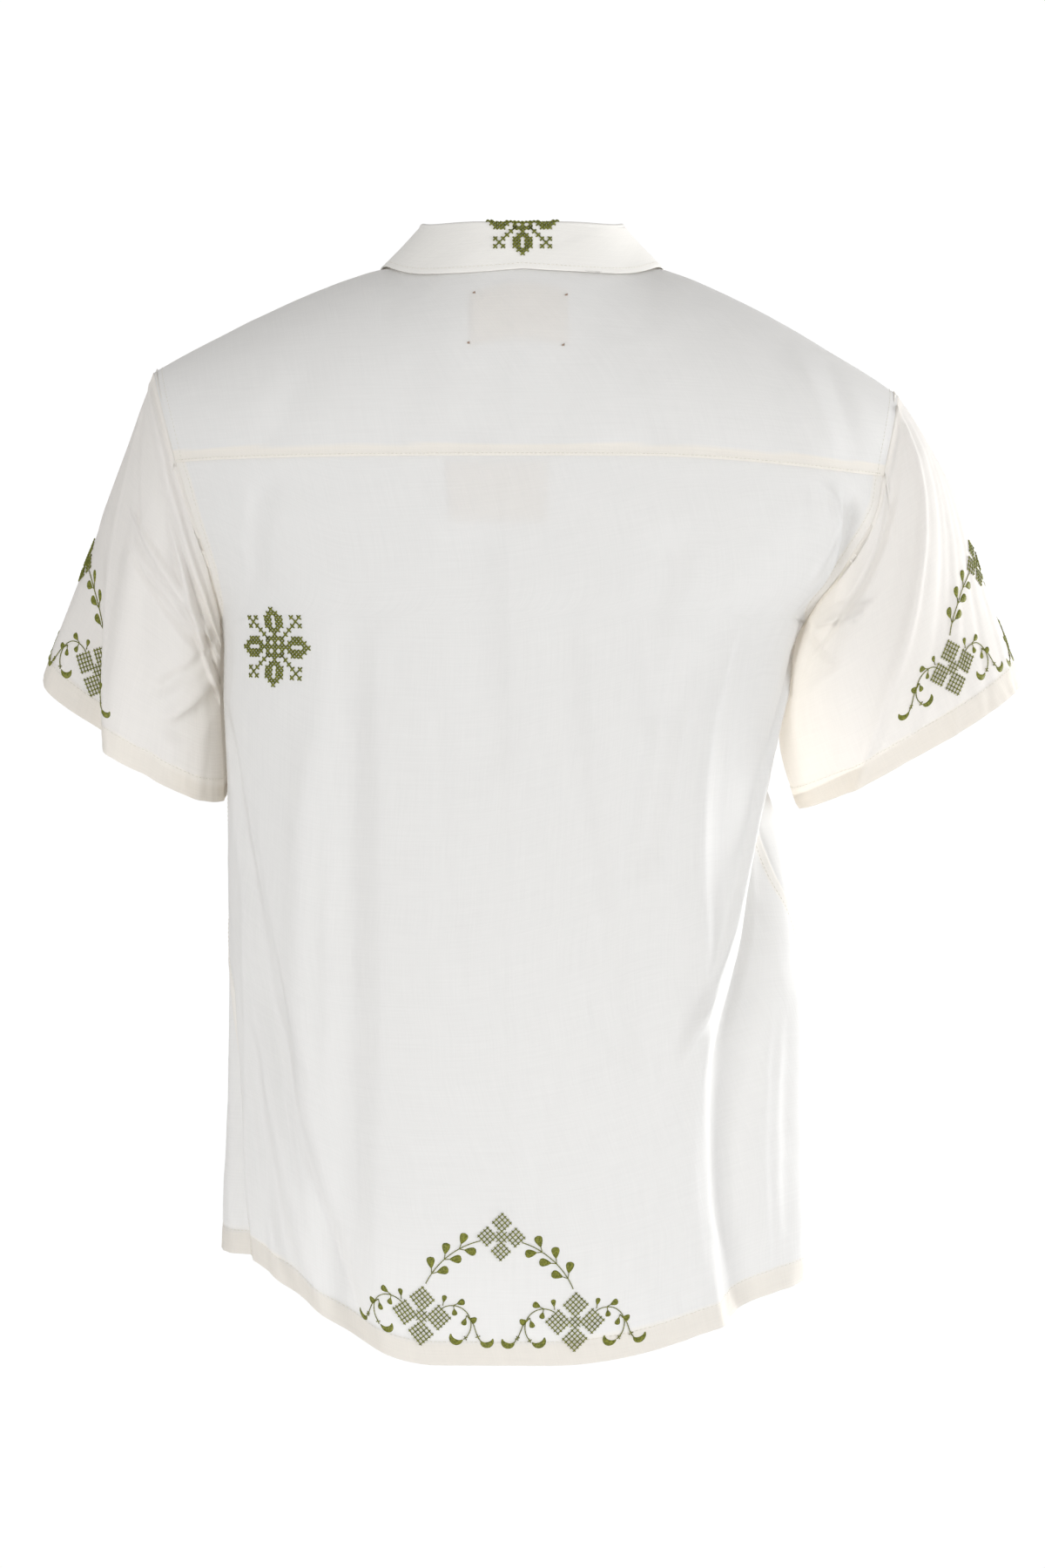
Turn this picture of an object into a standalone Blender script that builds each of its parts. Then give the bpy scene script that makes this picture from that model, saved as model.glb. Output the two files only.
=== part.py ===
"""Short-sleeved cotton shirt with a camp collar, hollow as it is when worn.

Metres, +Z up. The wearer's front faces -Y and the wearer's left side is at +X. The
origin lies between the two neck points, level with them, where the wearer carries it.
"""
import math
from collections import namedtuple

import bmesh
import bpy
from mathutils import Vector

# Colours and roughness
CLOTH_COLOUR = (0.88, 0.86, 0.82)
LABEL_COLOUR = (0.92, 0.90, 0.84)
BUTTON_COLOUR = (0.82, 0.78, 0.68)
CLOTH_ROUGHNESS = 0.9
BUTTON_ROUGHNESS = 0.35

# Cloth and seams
WALL = 0.0012
COLLAR_WALL = 0.0016
SEAM_GAP = 0.0003
SEAM_EASE = 0.0001
BEND_ALLOWANCE = 1.2
LAID_ON = 0.0007
LAPEL_LAID_ON = 0.0012
UNDER_FACETS = 0.0009

# Heights of the body
ARMPIT = -0.240
YOKE_SEAM = -0.135
YOKE_DROOP = 0.009
HEM_CENTRE_BACK = -0.7205
HEM_CENTRE_FRONT = -0.700

# Neck and armholes
NECK_POINT = 0.092
NECK_SLOPE_RISE = 0.040
NECK_HALF_WIDTH = 0.080
NECK_BACK_DEPTH = 0.070
NECK_CORNER = -22
ARMHOLE_TURN = 65
SHOULDER_BEND = 1.25
SQUARENESS = 2.5
PLACING_PASSES = 6

# Front opening
OVERLAP = 0.014
OPEN_LIFT = 168
TUCK_FULL = 0.020
TUCK_NONE = 0.046
BUTTON_COUNT = 5
FIRST_BUTTON = -0.152
BUTTON_SPACING = 0.104
BUTTON_RADIUS = 0.0057
BUTTON_THICKNESS = 0.0024
BUTTON_SEAT = 0.0004
BUTTON_SIDES = 16
BUTTON_BEVEL = 0.0006

# Grid sizes
BACK_COLUMNS = 42
LOW_ROWS = 16
ARMHOLE_ROWS = 5
YOKE_COLUMNS = 30
YOKE_ROWS = 10
YOKE_SHOULDER_COLUMNS = 8
FRONT_COLUMNS = 15
FRONT_ARCH_ROWS = 7
SLEEVE_ROWS = 11
COLLAR_COLUMNS = 36
FALL_ROWS = 4
STAND_ROWS = 3
LAPEL_COLUMNS = 5
LAPEL_ROWS = 7
LABEL_COLUMNS = 4
LABEL_ROWS = 3

# What differs from side to side: the shoulder tip, how far it drops, the hem at the side, and the
# turns between which the hem curves down
Side = namedtuple("Side", "sign tip drop hem hem_from hem_to")
LEFT = Side(1, 0.248, 0.069, -0.657, 66, 16)
RIGHT = Side(-1, 0.252, 0.084, -0.670, 82, 5)

# The body's tube: half widths to the wearer's left and right, how far it reaches back and front, and
# where it is widest. Above the armpit these go on past the armholes, which cut them off.
Section = namedtuple("Section", "height left right back front widest")
SECTIONS = (
    Section(-0.730, 0.202, 0.196, 0.124, -0.146, 0.010),
    Section(-0.660, 0.202, 0.194, 0.124, -0.145, 0.010),
    Section(-0.560, 0.198, 0.190, 0.121, -0.142, 0.010),
    Section(-0.460, 0.197, 0.186, 0.118, -0.139, 0.012),
    Section(-0.400, 0.197, 0.175, 0.116, -0.137, 0.015),
    Section(-0.340, 0.198, 0.170, 0.115, -0.135, 0.020),
    Section(-0.290, 0.200, 0.174, 0.115, -0.133, 0.022),
    Section(-0.240, 0.201, 0.188, 0.115, -0.130, 0.022),
    Section(-0.210, 0.215, 0.222, 0.115, -0.128, 0.018),
    Section(-0.170, 0.237, 0.254, 0.114, -0.123, 0.010),
    Section(-0.135, 0.252, 0.264, 0.112, -0.117, 0.004),
)

# Side seams, in degrees round from centre back
Seam = namedtuple("Seam", "height left right")
SEAMS = (
    Seam(-0.730, 62, 104),
    Seam(-0.600, 70, 96),
    Seam(-0.470, 88, 84),
    Seam(-0.400, 90, 78),
    Seam(-0.240, 90, 90),
)

# Folds of the body: a line from a top to a low end, bowed sideways, with its spread to each side and
# its rise. Turns are degrees round from centre back, positive to the wearer's left. A negative rise is
# a valley.
Fold = namedtuple("Fold", "top_turn top_height low_turn low_height bow left right rise")
BODY_FOLDS = (
    Fold(34, -0.30, 34, -0.67, 0, 0.024, 0.022, -0.0045),
    Fold(58, -0.50, 34, -0.69, 0, 0.020, 0.020, -0.0060),
    Fold(76, -0.33, 52, -0.52, 0, 0.020, 0.020, -0.0055),
    Fold(46, -0.36, 44, -0.62, 3, 0.020, 0.020, 0.0035),
    Fold(-8, -0.27, -18, -0.50, 0, 0.022, 0.022, -0.0035),
    Fold(-36, -0.28, -27, -0.39, 0, 0.020, 0.020, -0.0040),
    Fold(9, -0.20, 6, -0.32, 0, 0.022, 0.022, -0.0030),
    Fold(-24, -0.20, -30, -0.30, 0, 0.022, 0.020, -0.0035),
    Fold(-46, -0.30, -40, -0.68, 5, 0.020, 0.024, 0.0040),
    Fold(-92, -0.32, -51, -0.70, 22, 0.036, 0.054, -0.0150),
    Fold(80, -0.50, 66, -0.67, 0, 0.022, 0.022, -0.0080),
    Fold(108, -0.26, 106, -0.41, 0, 0.044, 0.054, -0.0120),
    Fold(-108, -0.26, -106, -0.38, 0, 0.054, 0.044, -0.0080),
    Fold(-60, -0.172, -74, -0.232, 0, 0.020, 0.020, -0.0060),
    Fold(-72, -0.50, -68, -0.66, 0, 0.022, 0.024, 0.0050),
    Fold(128, -0.34, 124, -0.68, 4, 0.026, 0.026, -0.0080),
    Fold(112, -0.44, 108, -0.66, 0, 0.022, 0.022, 0.0050),
    Fold(150, -0.30, 146, -0.66, -3, 0.024, 0.024, -0.0050),
    Fold(139, -0.34, 136, -0.64, 0, 0.022, 0.022, 0.0050),
    Fold(-126, -0.34, -120, -0.67, -4, 0.026, 0.026, -0.0080),
    Fold(-150, -0.28, -145, -0.65, 3, 0.024, 0.024, -0.0055),
    Fold(-137, -0.36, -134, -0.66, 0, 0.022, 0.022, 0.0050),
    Fold(124, -0.22, 146, -0.30, 0, 0.020, 0.020, -0.0040),
    Fold(-124, -0.22, -147, -0.31, 0, 0.020, 0.020, -0.0040),
)
FOLD_RADIUS = 0.19
FOLD_FADE = 0.25

# Sleeve rings from the armhole to the hem: centre, half width, half depth, tilt from level of the line
# from inside to outside, and dip of the back
Ring = namedtuple("Ring", "along x y z half_width half_depth tilt back_dip")
LEFT_RINGS = (
    Ring(0.00, 0.2245, 0.004, -0.1545, 0.0887, 0.070, 74.6, 0),
    Ring(0.30, 0.2352, 0.002, -0.2015, 0.0800, 0.066, 63.5, 9),
    Ring(0.65, 0.2477, 0.000, -0.2563, 0.0743, 0.062, 48, 18),
    Ring(1.00, 0.2600, -0.002, -0.3110, 0.0750, 0.058, 31.4, 25),
)
RIGHT_RINGS = (
    Ring(0.00, 0.2200, 0.004, -0.1625, 0.0838, 0.070, 67.6, 0),
    Ring(0.30, 0.2337, 0.002, -0.2107, 0.0855, 0.066, 53.5, 6),
    Ring(0.65, 0.2437, 0.000, -0.2626, 0.0850, 0.062, 39, 10),
    Ring(1.00, 0.2615, -0.002, -0.3160, 0.0860, 0.057, 28.5, 13),
)
SLEEVE_SQUARENESS = 2.3
ARMHOLE_BLEND = 0.45
ARMHOLE_CLEARANCE = 0.0011
BODY_CLEARANCE = 0.0022
SIDE_FROM = 20
SIDE_STEPS = 56

# Sleeve folds: a line round and along the sleeve, with its spread before and after it. Turns are degrees
# from the top, positive to the back.
SleeveFold = namedtuple("SleeveFold", "top_turn top_along low_turn low_along before after rise")
LEFT_SLEEVE_FOLDS = (
    SleeveFold(46, 0.75, 122, 1.95, 0.055, 0.022, -0.0220),
    SleeveFold(66, 0.45, 84, 1.10, 0.014, 0.020, 0.0040),
    SleeveFold(100, 0.20, 160, 0.45, 0.014, 0.014, 0.0050),
    SleeveFold(118, 0.20, 168, 0.40, 0.010, 0.010, -0.0040),
    SleeveFold(150, 0.42, 112, 0.75, 0.014, 0.014, -0.0050),
    SleeveFold(-70, 0.25, -80, 1.10, 0.018, 0.018, 0.0050),
    SleeveFold(-120, 0.20, -150, 0.60, 0.016, 0.016, -0.0040),
)
RIGHT_SLEEVE_FOLDS = (
    SleeveFold(45, 0.20, 115, 1.00, 0.034, 0.030, 0.0055),
    SleeveFold(80, 0.20, 138, 0.42, 0.014, 0.014, -0.0050),
    SleeveFold(104, 0.34, 150, 0.44, 0.012, 0.012, 0.0060),
    SleeveFold(112, 0.46, 158, 0.60, 0.014, 0.014, -0.0060),
    SleeveFold(-70, 0.25, -80, 1.10, 0.018, 0.018, 0.0050),
    SleeveFold(-120, 0.20, -150, 0.60, 0.016, 0.016, -0.0040),
)
SLEEVE_RADIUS = 0.068

# Collar stations from centre back to its front end: how far the fold leans to the neck, how high it
# stands over the seam, how far its edge reaches out beyond the seam, and how far it is off the shoulder
Station = namedtuple("Station", "along lean stand reach clearance")
COLLAR_STATIONS = (
    Station(0.00, 0.0035, 0.0195, 0.0100, 0.0034),
    Station(0.30, 0.0060, 0.0240, 0.0120, 0.0034),
    Station(0.62, 0.0165, 0.0275, 0.0130, 0.0038),
    Station(0.80, 0.0120, 0.0190, 0.0260, 0.0050),
    Station(1.00, 0.0040, 0.0080, 0.0440, 0.0060),
)
COLLAR_ROLL = 0.0028
NORMAL_STEP = 0.01
SEAM_STEP = 0.02
COLLAR_SEAT = 0.0009
COLLAR_YOKE_SHARE = 0.78
COLLAR_END_LIFT = 128
LAPEL_TOP_LIFT = 136
LAPEL_LOW_LIFT = 169
LAPEL_WIDTH = 15
LAPEL_POINT = 1.5
LAPEL_INSET = 0.3

# Labels inside the back: from left to right and from top to bottom
Label = namedtuple("Label", "left right top low")
NECK_LABEL = Label(0.035, -0.029, 41, 26)
CARE_LABEL = Label(0.051, -0.016, -0.138, -0.178)


def smooth(value):
    value = max(0.0, min(1.0, value))
    return value * value * (3 - 2 * value)


def mix(first, second, share):
    return first + (second - first) * share


def signed_power(value, power):
    return math.copysign(abs(value) ** power, value)


def steps(count):
    """Even shares from 0 to 1."""
    return [i / count for i in range(count + 1)]


def table_value(rows, key, column, place):
    """Reads a column of a table at a place along its key, smoothly from row to row."""
    keys = [getattr(row, key) for row in rows]
    values = [getattr(row, column) for row in rows]
    place = max(keys[0], min(keys[-1], place))
    step = max(i for i in range(len(keys) - 1) if keys[i] <= place)

    def slope(i):
        low, high = max(i - 1, 0), min(i + 1, len(keys) - 1)
        return (values[high] - values[low]) / (keys[high] - keys[low])

    span = keys[step + 1] - keys[step]
    share = (place - keys[step]) / span
    leaving = (share - 2 * share ** 2 + share ** 3) * span * slope(step)
    arriving = (share ** 3 - share ** 2) * span * slope(step + 1)
    return mix(values[step], values[step + 1], smooth(share)) + leaving + arriving


def side_at(turn):
    return LEFT if math.sin(math.radians(turn)) >= 0 else RIGHT


def round_off(share):
    """Depth left in a section at this share of its half width."""
    return max(0.0, 1 - abs(share) ** SQUARENESS) ** (1 / SQUARENESS)


def fold_rise(turn, height):
    """How far the folds move the cloth outward at a place on the body."""
    total = 0.0
    for fold in BODY_FOLDS:
        share = (fold.top_height - height) / (fold.top_height - fold.low_height)
        ends = smooth((share + FOLD_FADE) / FOLD_FADE) * smooth((1 + FOLD_FADE - share) / FOLD_FADE)
        centre = mix(fold.top_turn, fold.low_turn, share) + fold.bow * 4 * share * (1 - share)
        off = math.radians(turn - centre) * FOLD_RADIUS
        spread = fold.left if off > 0 else fold.right
        total += fold.rise * ends * max(0.0, 1 - (off / spread) ** 2) ** 2
    return total


def ring_point(turn, height):
    """Point of the body's tube, with its folds. Turn 0 is centre back, 90 the wearer's left side."""
    across = math.sin(math.radians(turn))
    behind = math.cos(math.radians(turn)) > 0
    half = table_value(SECTIONS, "height", "left" if across >= 0 else "right", height)
    widest = table_value(SECTIONS, "height", "widest", height)
    depth = table_value(SECTIONS, "height", "back" if behind else "front", height) - widest
    narrowing = round_off(across)
    outward = Vector((
        signed_power(across, SQUARENESS - 1) / half,
        narrowing ** (SQUARENESS - 1) / depth,
        0,
    )).normalized()
    rise = fold_rise((turn + 180) % 360 - 180, height)
    return Vector((half * across, widest + depth * narrowing, height)) + outward * rise


def chest_height(turn):
    """Height of the yoke seam, which droops to the wearer's right at the back."""
    if math.cos(math.radians(turn)) < 0 or math.sin(math.radians(turn)) > 0:
        return YOKE_SEAM
    return YOKE_SEAM - YOKE_DROOP * smooth((abs(turn) - 15) / (ARMHOLE_TURN - 15))


def hem_height(turn):
    """Height of the shirt-tail hem, level at the sides and lowest at centre back and centre front."""
    side = side_at(turn)
    turn = abs((turn + 180) % 360 - 180)
    behind = turn <= 90
    from_centre = turn if behind else 180 - turn
    share = smooth((side.hem_from - from_centre) / (side.hem_from - side.hem_to))
    return mix(side.hem, HEM_CENTRE_BACK if behind else HEM_CENTRE_FRONT, share)


def seam_turn(side, height):
    return table_value(SEAMS, "height", "left" if side is LEFT else "right", height)


def armhole_turn(share):
    """Turn of the armhole's edge at a share of the way from the armpit to the yoke seam."""
    return 90 - (90 - ARMHOLE_TURN) * math.sqrt(max(0.0, 1 - (1 - share) ** 2))


def ridge_height(x):
    """Height of the shoulder line, which runs on up the neck inside the neck points."""
    side = LEFT if x >= 0 else RIGHT
    beyond = (abs(x) - NECK_POINT) / (side.tip - NECK_POINT)
    if beyond > 0:
        return -side.drop * beyond ** SHOULDER_BEND
    return NECK_SLOPE_RISE * (1 - (x / NECK_POINT) ** 2) ** 2


def shoulder_half_width(side, height, lift):
    """How far the shoulders reach from the centre to the armhole, over a chest height."""
    edge = abs(ring_point(side.sign * ARMHOLE_TURN, height).x)
    return mix(edge, side.tip, math.sin(math.radians(lift)))


def arch_point(turn, lift):
    """Point of the shoulders above a turn of the chest. Lift 0 is behind, 90 on top and 180 in front."""
    height = chest_height(turn)
    foot = ring_point(turn, height)
    side = side_at(turn)
    x = foot.x * shoulder_half_width(side, height, lift) / shoulder_half_width(side, height, 0)
    y = foot.y * abs(math.cos(math.radians(lift)))
    return Vector((x, y, mix(height, ridge_height(x), math.sin(math.radians(lift)))))


def shoulder_point(share, lift):
    """Point of the shoulders at a share of the way from the centre to the left armhole."""
    turn = math.degrees(math.asin(share * math.sin(math.radians(ARMHOLE_TURN))))
    if lift > 90:
        turn = math.copysign(180, turn) - turn
    return arch_point(turn, lift)


def place_over(x, y):
    """Share and lift of the shoulder's point over a place in plan."""
    side = LEFT if x >= 0 else RIGHT
    share = x / side.tip
    lift = 90.0
    for _ in range(PLACING_PASSES):
        turn = math.degrees(math.asin(share * math.sin(math.radians(ARMHOLE_TURN))))
        foot = ring_point(turn if y >= 0 else math.copysign(180, x) - turn, YOKE_SEAM)
        lift = math.degrees(math.acos(max(-1.0, min(1.0, y / abs(foot.y)))))
        share = x / shoulder_half_width(side, YOKE_SEAM, lift)
    return share, lift


def neckline_place(side, angle):
    """Share and lift of the neckline: 90 is centre back, 0 beside the neck, negative in front."""
    x = NECK_HALF_WIDTH * math.cos(math.radians(angle))
    reach = NECK_BACK_DEPTH if angle > 0 else NECK_HALF_WIDTH
    return place_over(side.sign * x, reach * math.sin(math.radians(angle)))


def front_inner_turn(side, lift):
    """Turn of a front's inner edge: past centre front at the chest, then along the roll line."""
    share, neck_lift = neckline_place(side, NECK_CORNER)
    neck_turn = 180 - math.degrees(math.asin(abs(share) * math.sin(math.radians(ARMHOLE_TURN))))
    past_centre = math.degrees(math.asin(OVERLAP / side_width(side)))
    past_centre *= smooth((lift - OPEN_LIFT) / (180 - OPEN_LIFT))
    return past_centre + mix(180, neck_turn, (180 - lift) / (180 - neck_lift))


def side_width(side):
    return table_value(SECTIONS, "height", "left" if side is LEFT else "right", YOKE_SEAM)


def grid_normals(grid, closed=False):
    """Outward normals of a grid whose columns run right and rows run up, seen from outside."""
    rows, columns = len(grid), len(grid[0])
    normals = []
    for r in range(rows):
        line = []
        for c in range(columns):
            left = grid[r][(c - 1) % columns if closed else max(c - 1, 0)]
            right = grid[r][(c + 1) % columns if closed else min(c + 1, columns - 1)]
            upward = grid[min(r + 1, rows - 1)][c] - grid[max(r - 1, 0)][c]
            line.append((right - left).cross(upward).normalized())
        normals.append(line)
    return normals


def drawn_in(edge, near, far, normal):
    """Draws an edge point in by half the seam's gap, and further where the wall would close it."""
    inward = (near - edge).normalized()
    bend = max(0.0, (inward - (far - near).normalized()).dot(normal))
    return edge + inward * (SEAM_GAP / 2 + SEAM_EASE + WALL * bend * BEND_ALLOWANCE)


def pulled_in(grid):
    """A panel's grid with its borders drawn in, which leaves the seams open after it is thickened."""
    normals = grid_normals(grid)
    lines = []
    for line, across in zip(grid, normals):
        first = drawn_in(line[0], line[1], line[2], across[1])
        last = drawn_in(line[-1], line[-2], line[-3], across[-2])
        lines.append([first, *line[1:-1], last])
    low = [drawn_in(a, b, c, n) for a, b, c, n in zip(lines[0], lines[1], lines[2], normals[1])]
    top = [drawn_in(a, b, c, n) for a, b, c, n in zip(lines[-1], lines[-2], lines[-3], normals[-2])]
    return [low, *lines[1:-1], top]


def moved_out(grid, distance):
    normals = grid_normals(grid)
    return [
        [point + normal * distance for point, normal in zip(points, directions)]
        for points, directions in zip(grid, normals)
    ]


def body_rows(turns_at):
    """Rows of a body panel from the hem to the chest, at the turns that turns_at gives for each."""
    grid = []
    for share in steps(LOW_ROWS):
        line = []
        for turn in turns_at(share, 0.0):
            line.append(ring_point(turn, mix(hem_height(turn), ARMPIT, share)))
        grid.append(line)
    for share in steps(ARMHOLE_ROWS)[1:]:
        line = []
        for turn in turns_at(1.0, share):
            line.append(ring_point(turn, mix(ARMPIT, chest_height(turn), share)))
        grid.append(line)
    return grid


def edge_turn(side, low_share, armhole_share):
    """Turn of a panel's outer edge: the side seam below the armpit and the armhole above it."""
    if armhole_share > 0:
        return armhole_turn(armhole_share)
    return seam_turn(side, mix(side.hem, ARMPIT, low_share))


def back_grid():
    def turns_at(low_share, armhole_share):
        left = edge_turn(LEFT, low_share, armhole_share)
        right = edge_turn(RIGHT, low_share, armhole_share)
        return [mix(left, -right, share) for share in steps(BACK_COLUMNS)]

    return pulled_in(body_rows(turns_at))


def front_grid(side):
    """A front's grid from its inner edge outward, and from the hem to the seam before the shoulder."""
    neck_lift = neckline_place(side, NECK_CORNER)[1]
    past_centre = front_inner_turn(side, 180)

    def turns_at(low_share, armhole_share):
        outer = edge_turn(side, low_share, armhole_share)
        if armhole_share > 0:
            outer = 180 - outer
        return [side.sign * mix(past_centre, outer, share) for share in steps(FRONT_COLUMNS)]

    grid = body_rows(turns_at)
    for share in steps(FRONT_ARCH_ROWS)[1:]:
        lift = mix(180, neck_lift, share)
        inner = front_inner_turn(side, lift)
        outer = 180 - ARMHOLE_TURN
        line = []
        for column in steps(FRONT_COLUMNS):
            line.append(arch_point(side.sign * mix(inner, outer, column), lift))
        grid.append(line)
    return pulled_in(grid)


def tuck_under(grid):
    """Moves the right front's inner edge in, so that it lies under the left front."""
    under = WALL + SEAM_GAP + LAID_ON
    moved = []
    for points, normals in zip(grid, grid_normals(grid)):
        line = []
        for point, normal in zip(points, normals):
            share = smooth((TUCK_NONE + point.x) / (TUCK_NONE - TUCK_FULL))
            line.append(point - normal * under * share)
        moved.append(line)
    return moved


def yoke_column(side, index):
    """Bottom share, top share and top lift of a column of the yoke, counted from the armhole."""
    half = YOKE_COLUMNS // 2
    bottom = 1 - index / half
    corner_share, corner_lift = neckline_place(side, NECK_CORNER)
    corner_share = abs(corner_share)
    if index <= YOKE_SHOULDER_COLUMNS:
        top = mix(1, corner_share, index / YOKE_SHOULDER_COLUMNS)
        return bottom, top, corner_lift
    along = (index - YOKE_SHOULDER_COLUMNS) / (half - YOKE_SHOULDER_COLUMNS)
    top, lift = neckline_place(side, mix(NECK_CORNER, 90, along))
    return bottom, abs(top), lift


def yoke_grid():
    """The yoke, which fans from its seam across the back to the neckline and over the shoulders."""
    half = YOKE_COLUMNS // 2
    columns = [(LEFT, i) for i in range(half + 1)] + [(RIGHT, i) for i in reversed(range(half))]
    grid = []
    for row in steps(YOKE_ROWS):
        line = []
        for side, index in columns:
            bottom, top, top_lift = yoke_column(side, index)
            line.append(shoulder_point(side.sign * mix(bottom, top, row), top_lift * row))
        grid.append(line)
    return pulled_in(grid)


def armhole_loop(back, yoke, front, column):
    """The armhole's edge from the armpit up the back, over the shoulder and down the front."""
    loop = [line[column] for line in back[LOW_ROWS:]]
    loop += [line[column] for line in yoke[1:]]
    loop += [line[-1] for line in reversed(front[LOW_ROWS + 1:-1])]
    finer = []
    for first, second in zip(loop, loop[1:] + loop[:1]):
        finer += [first, (first + second) / 2]
    return finer


def loop_turns(loop):
    """Turns round the sleeve for the armhole's points: 180 at the armpit, 0 at the tip, then to -180."""
    lengths = [0.0]
    for first, second in zip(loop, loop[1:] + loop[:1]):
        lengths.append(lengths[-1] + (second - first).length)
    tip = next(i for i, point in enumerate(loop) if point.y <= 0 and point.z > YOKE_SEAM)
    turns = []
    for length in lengths[:-1]:
        if length <= lengths[tip]:
            turns.append(180 * (1 - length / lengths[tip]))
        else:
            turns.append(-180 * (length - lengths[tip]) / (lengths[-1] - lengths[tip]))
    return turns


def sleeve_ring(rings, side, along, turn):
    """Point of the sleeve's tube without its folds, and the direction out of it."""
    ring = {name: table_value(rings, "along", name, along) for name in Ring._fields}
    tilt, dip = math.radians(ring["tilt"]), math.radians(ring["back_dip"])
    outward = Vector((side.sign * math.cos(tilt), 0, math.sin(tilt)))
    backward = Vector((0, math.cos(dip), -math.sin(dip)))
    power = 2 / SLEEVE_SQUARENESS
    across = ring["half_width"] * signed_power(math.cos(math.radians(turn)), power)
    along_back = ring["half_depth"] * signed_power(math.sin(math.radians(turn)), power)
    offset = outward * across + backward * along_back
    centre = Vector((side.sign * ring["x"], ring["y"], ring["z"]))
    return centre + offset, offset.normalized()


def sleeve_fold_rise(folds, along, turn):
    total = 0.0
    for fold in folds:
        share = (along - fold.top_along) / (fold.low_along - fold.top_along)
        ends = smooth((share + FOLD_FADE) / FOLD_FADE) * smooth((1 + FOLD_FADE - share) / FOLD_FADE)
        centre = mix(fold.top_turn, fold.low_turn, share)
        off = math.radians(turn - centre) * SLEEVE_RADIUS
        spread = fold.after if off > 0 else fold.before
        total += fold.rise * ends * max(0.0, 1 - (off / spread) ** 2) ** 2
    return total


def side_reach(side, y, height):
    """How far out the body's side reaches at a place, or None above the armhole's edge."""
    share = (height - ARMPIT) / (YOKE_SEAM - ARMPIT)
    limit = armhole_turn(share) if share > 0 else 90
    turns = [mix(SIDE_FROM, 180 - SIDE_FROM, step) for step in steps(SIDE_STEPS)]
    points = [ring_point(side.sign * turn, height) for turn in turns]
    for turn, first, second in zip(turns, points, points[1:]):
        if second.y <= y <= first.y and (turn <= limit or turn >= 180 - limit):
            part = (first.y - y) / max(first.y - second.y, 1e-9)
            return side.sign * mix(first.x, second.x, part)
    return None


def clear_of_body(side, point):
    """Keeps a sleeve's point outside the body's side."""
    if point.z > YOKE_SEAM:
        return point
    reach = side_reach(side, point.y, point.z)
    if reach is None or side.sign * point.x > reach + BODY_CLEARANCE:
        return point
    return Vector((side.sign * (reach + BODY_CLEARANCE), point.y, point.z))


def sleeve_grid(side, rings, folds, loop):
    """A sleeve from its hem up to the armhole, columns from the armpit round by the back."""
    turns = loop_turns(loop)
    grid = []
    for along in steps(SLEEVE_ROWS)[:0:-1]:
        line = []
        for start, turn in zip(loop, turns):
            point, outward = sleeve_ring(rings, side, along, turn)
            shift = start - sleeve_ring(rings, side, 0, turn)[0]
            point += shift * (1 - smooth(along / ARMHOLE_BLEND))
            point += outward * sleeve_fold_rise(folds, along, turn)
            line.append(clear_of_body(side, point))
        grid.append(line)
    seat = []
    for start, below in zip(loop, grid[-1]):
        seat.append(start + (below - start).normalized() * ARMHOLE_CLEARANCE)
    grid.append(seat)
    if side is LEFT:
        grid = [line[::-1] for line in grid]
    return grid


def collar_seam_point(side, along):
    """Point of the neck seam, from centre back at 0 to the collar's front end at 1."""
    if along <= COLLAR_YOKE_SHARE:
        share, lift = neckline_place(side, mix(90, NECK_CORNER, along / COLLAR_YOKE_SHARE))
        return shoulder_point(side.sign * abs(share), lift)
    neck_lift = neckline_place(side, NECK_CORNER)[1]
    lift = mix(neck_lift, COLLAR_END_LIFT, (along - COLLAR_YOKE_SHARE) / (1 - COLLAR_YOKE_SHARE))
    return arch_point(side.sign * front_inner_turn(side, lift), lift)


def off_shoulder(point, clearance):
    """Lifts a point that is nearer to the shoulder than the clearance, straight off the cloth."""
    share, lift = place_over(point.x, point.y)
    under = shoulder_point(share, lift)
    across = shoulder_point(share - NORMAL_STEP, lift) - shoulder_point(share + NORMAL_STEP, lift)
    forward = shoulder_point(share, lift + 1) - shoulder_point(share, lift - 1)
    normal = across.cross(forward).normalized()
    height = (point - under).dot(normal)
    if height >= clearance:
        return point
    if point.z < under.z:
        return under + normal * clearance
    return point + normal * (clearance - height)


def collar_profile(side, along):
    """The collar's line from its outer edge up over the fold and down to the neck seam."""
    size = {name: table_value(COLLAR_STATIONS, "along", name, along) for name in Station._fields}
    seam = collar_seam_point(side, along)
    before = collar_seam_point(side, max(0, along - SEAM_STEP))
    ahead = collar_seam_point(side, min(1, along + SEAM_STEP)) - before
    outward = Vector((-ahead.y * side.sign, ahead.x * side.sign, 0)).normalized()
    if along == 0:
        outward = Vector((0, 1, 0))
    edge = seam + outward * size["reach"]
    edge = off_shoulder(Vector((edge.x, edge.y, HEM_CENTRE_BACK)), size["clearance"])
    foot = seam + Vector((0, 0, COLLAR_SEAT))
    inner = foot - outward * size["lean"] + Vector((0, 0, size["stand"] - COLLAR_ROLL))
    top = inner + outward * COLLAR_ROLL + Vector((0, 0, COLLAR_ROLL))
    outer = inner + outward * 2 * COLLAR_ROLL
    fall = [off_shoulder(edge.lerp(outer, share), size["clearance"]) for share in steps(FALL_ROWS)]
    stand = [inner.lerp(foot, share) for share in steps(STAND_ROWS)]
    return fall + [top] + stand


def collar_grid():
    half = COLLAR_COLUMNS // 2
    stations = [(LEFT, share) for share in reversed(steps(half))]
    stations += [(RIGHT, share) for share in steps(half)[1:]]
    columns = [collar_profile(side, along) for side, along in stations]
    return [list(line) for line in zip(*columns)]


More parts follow.
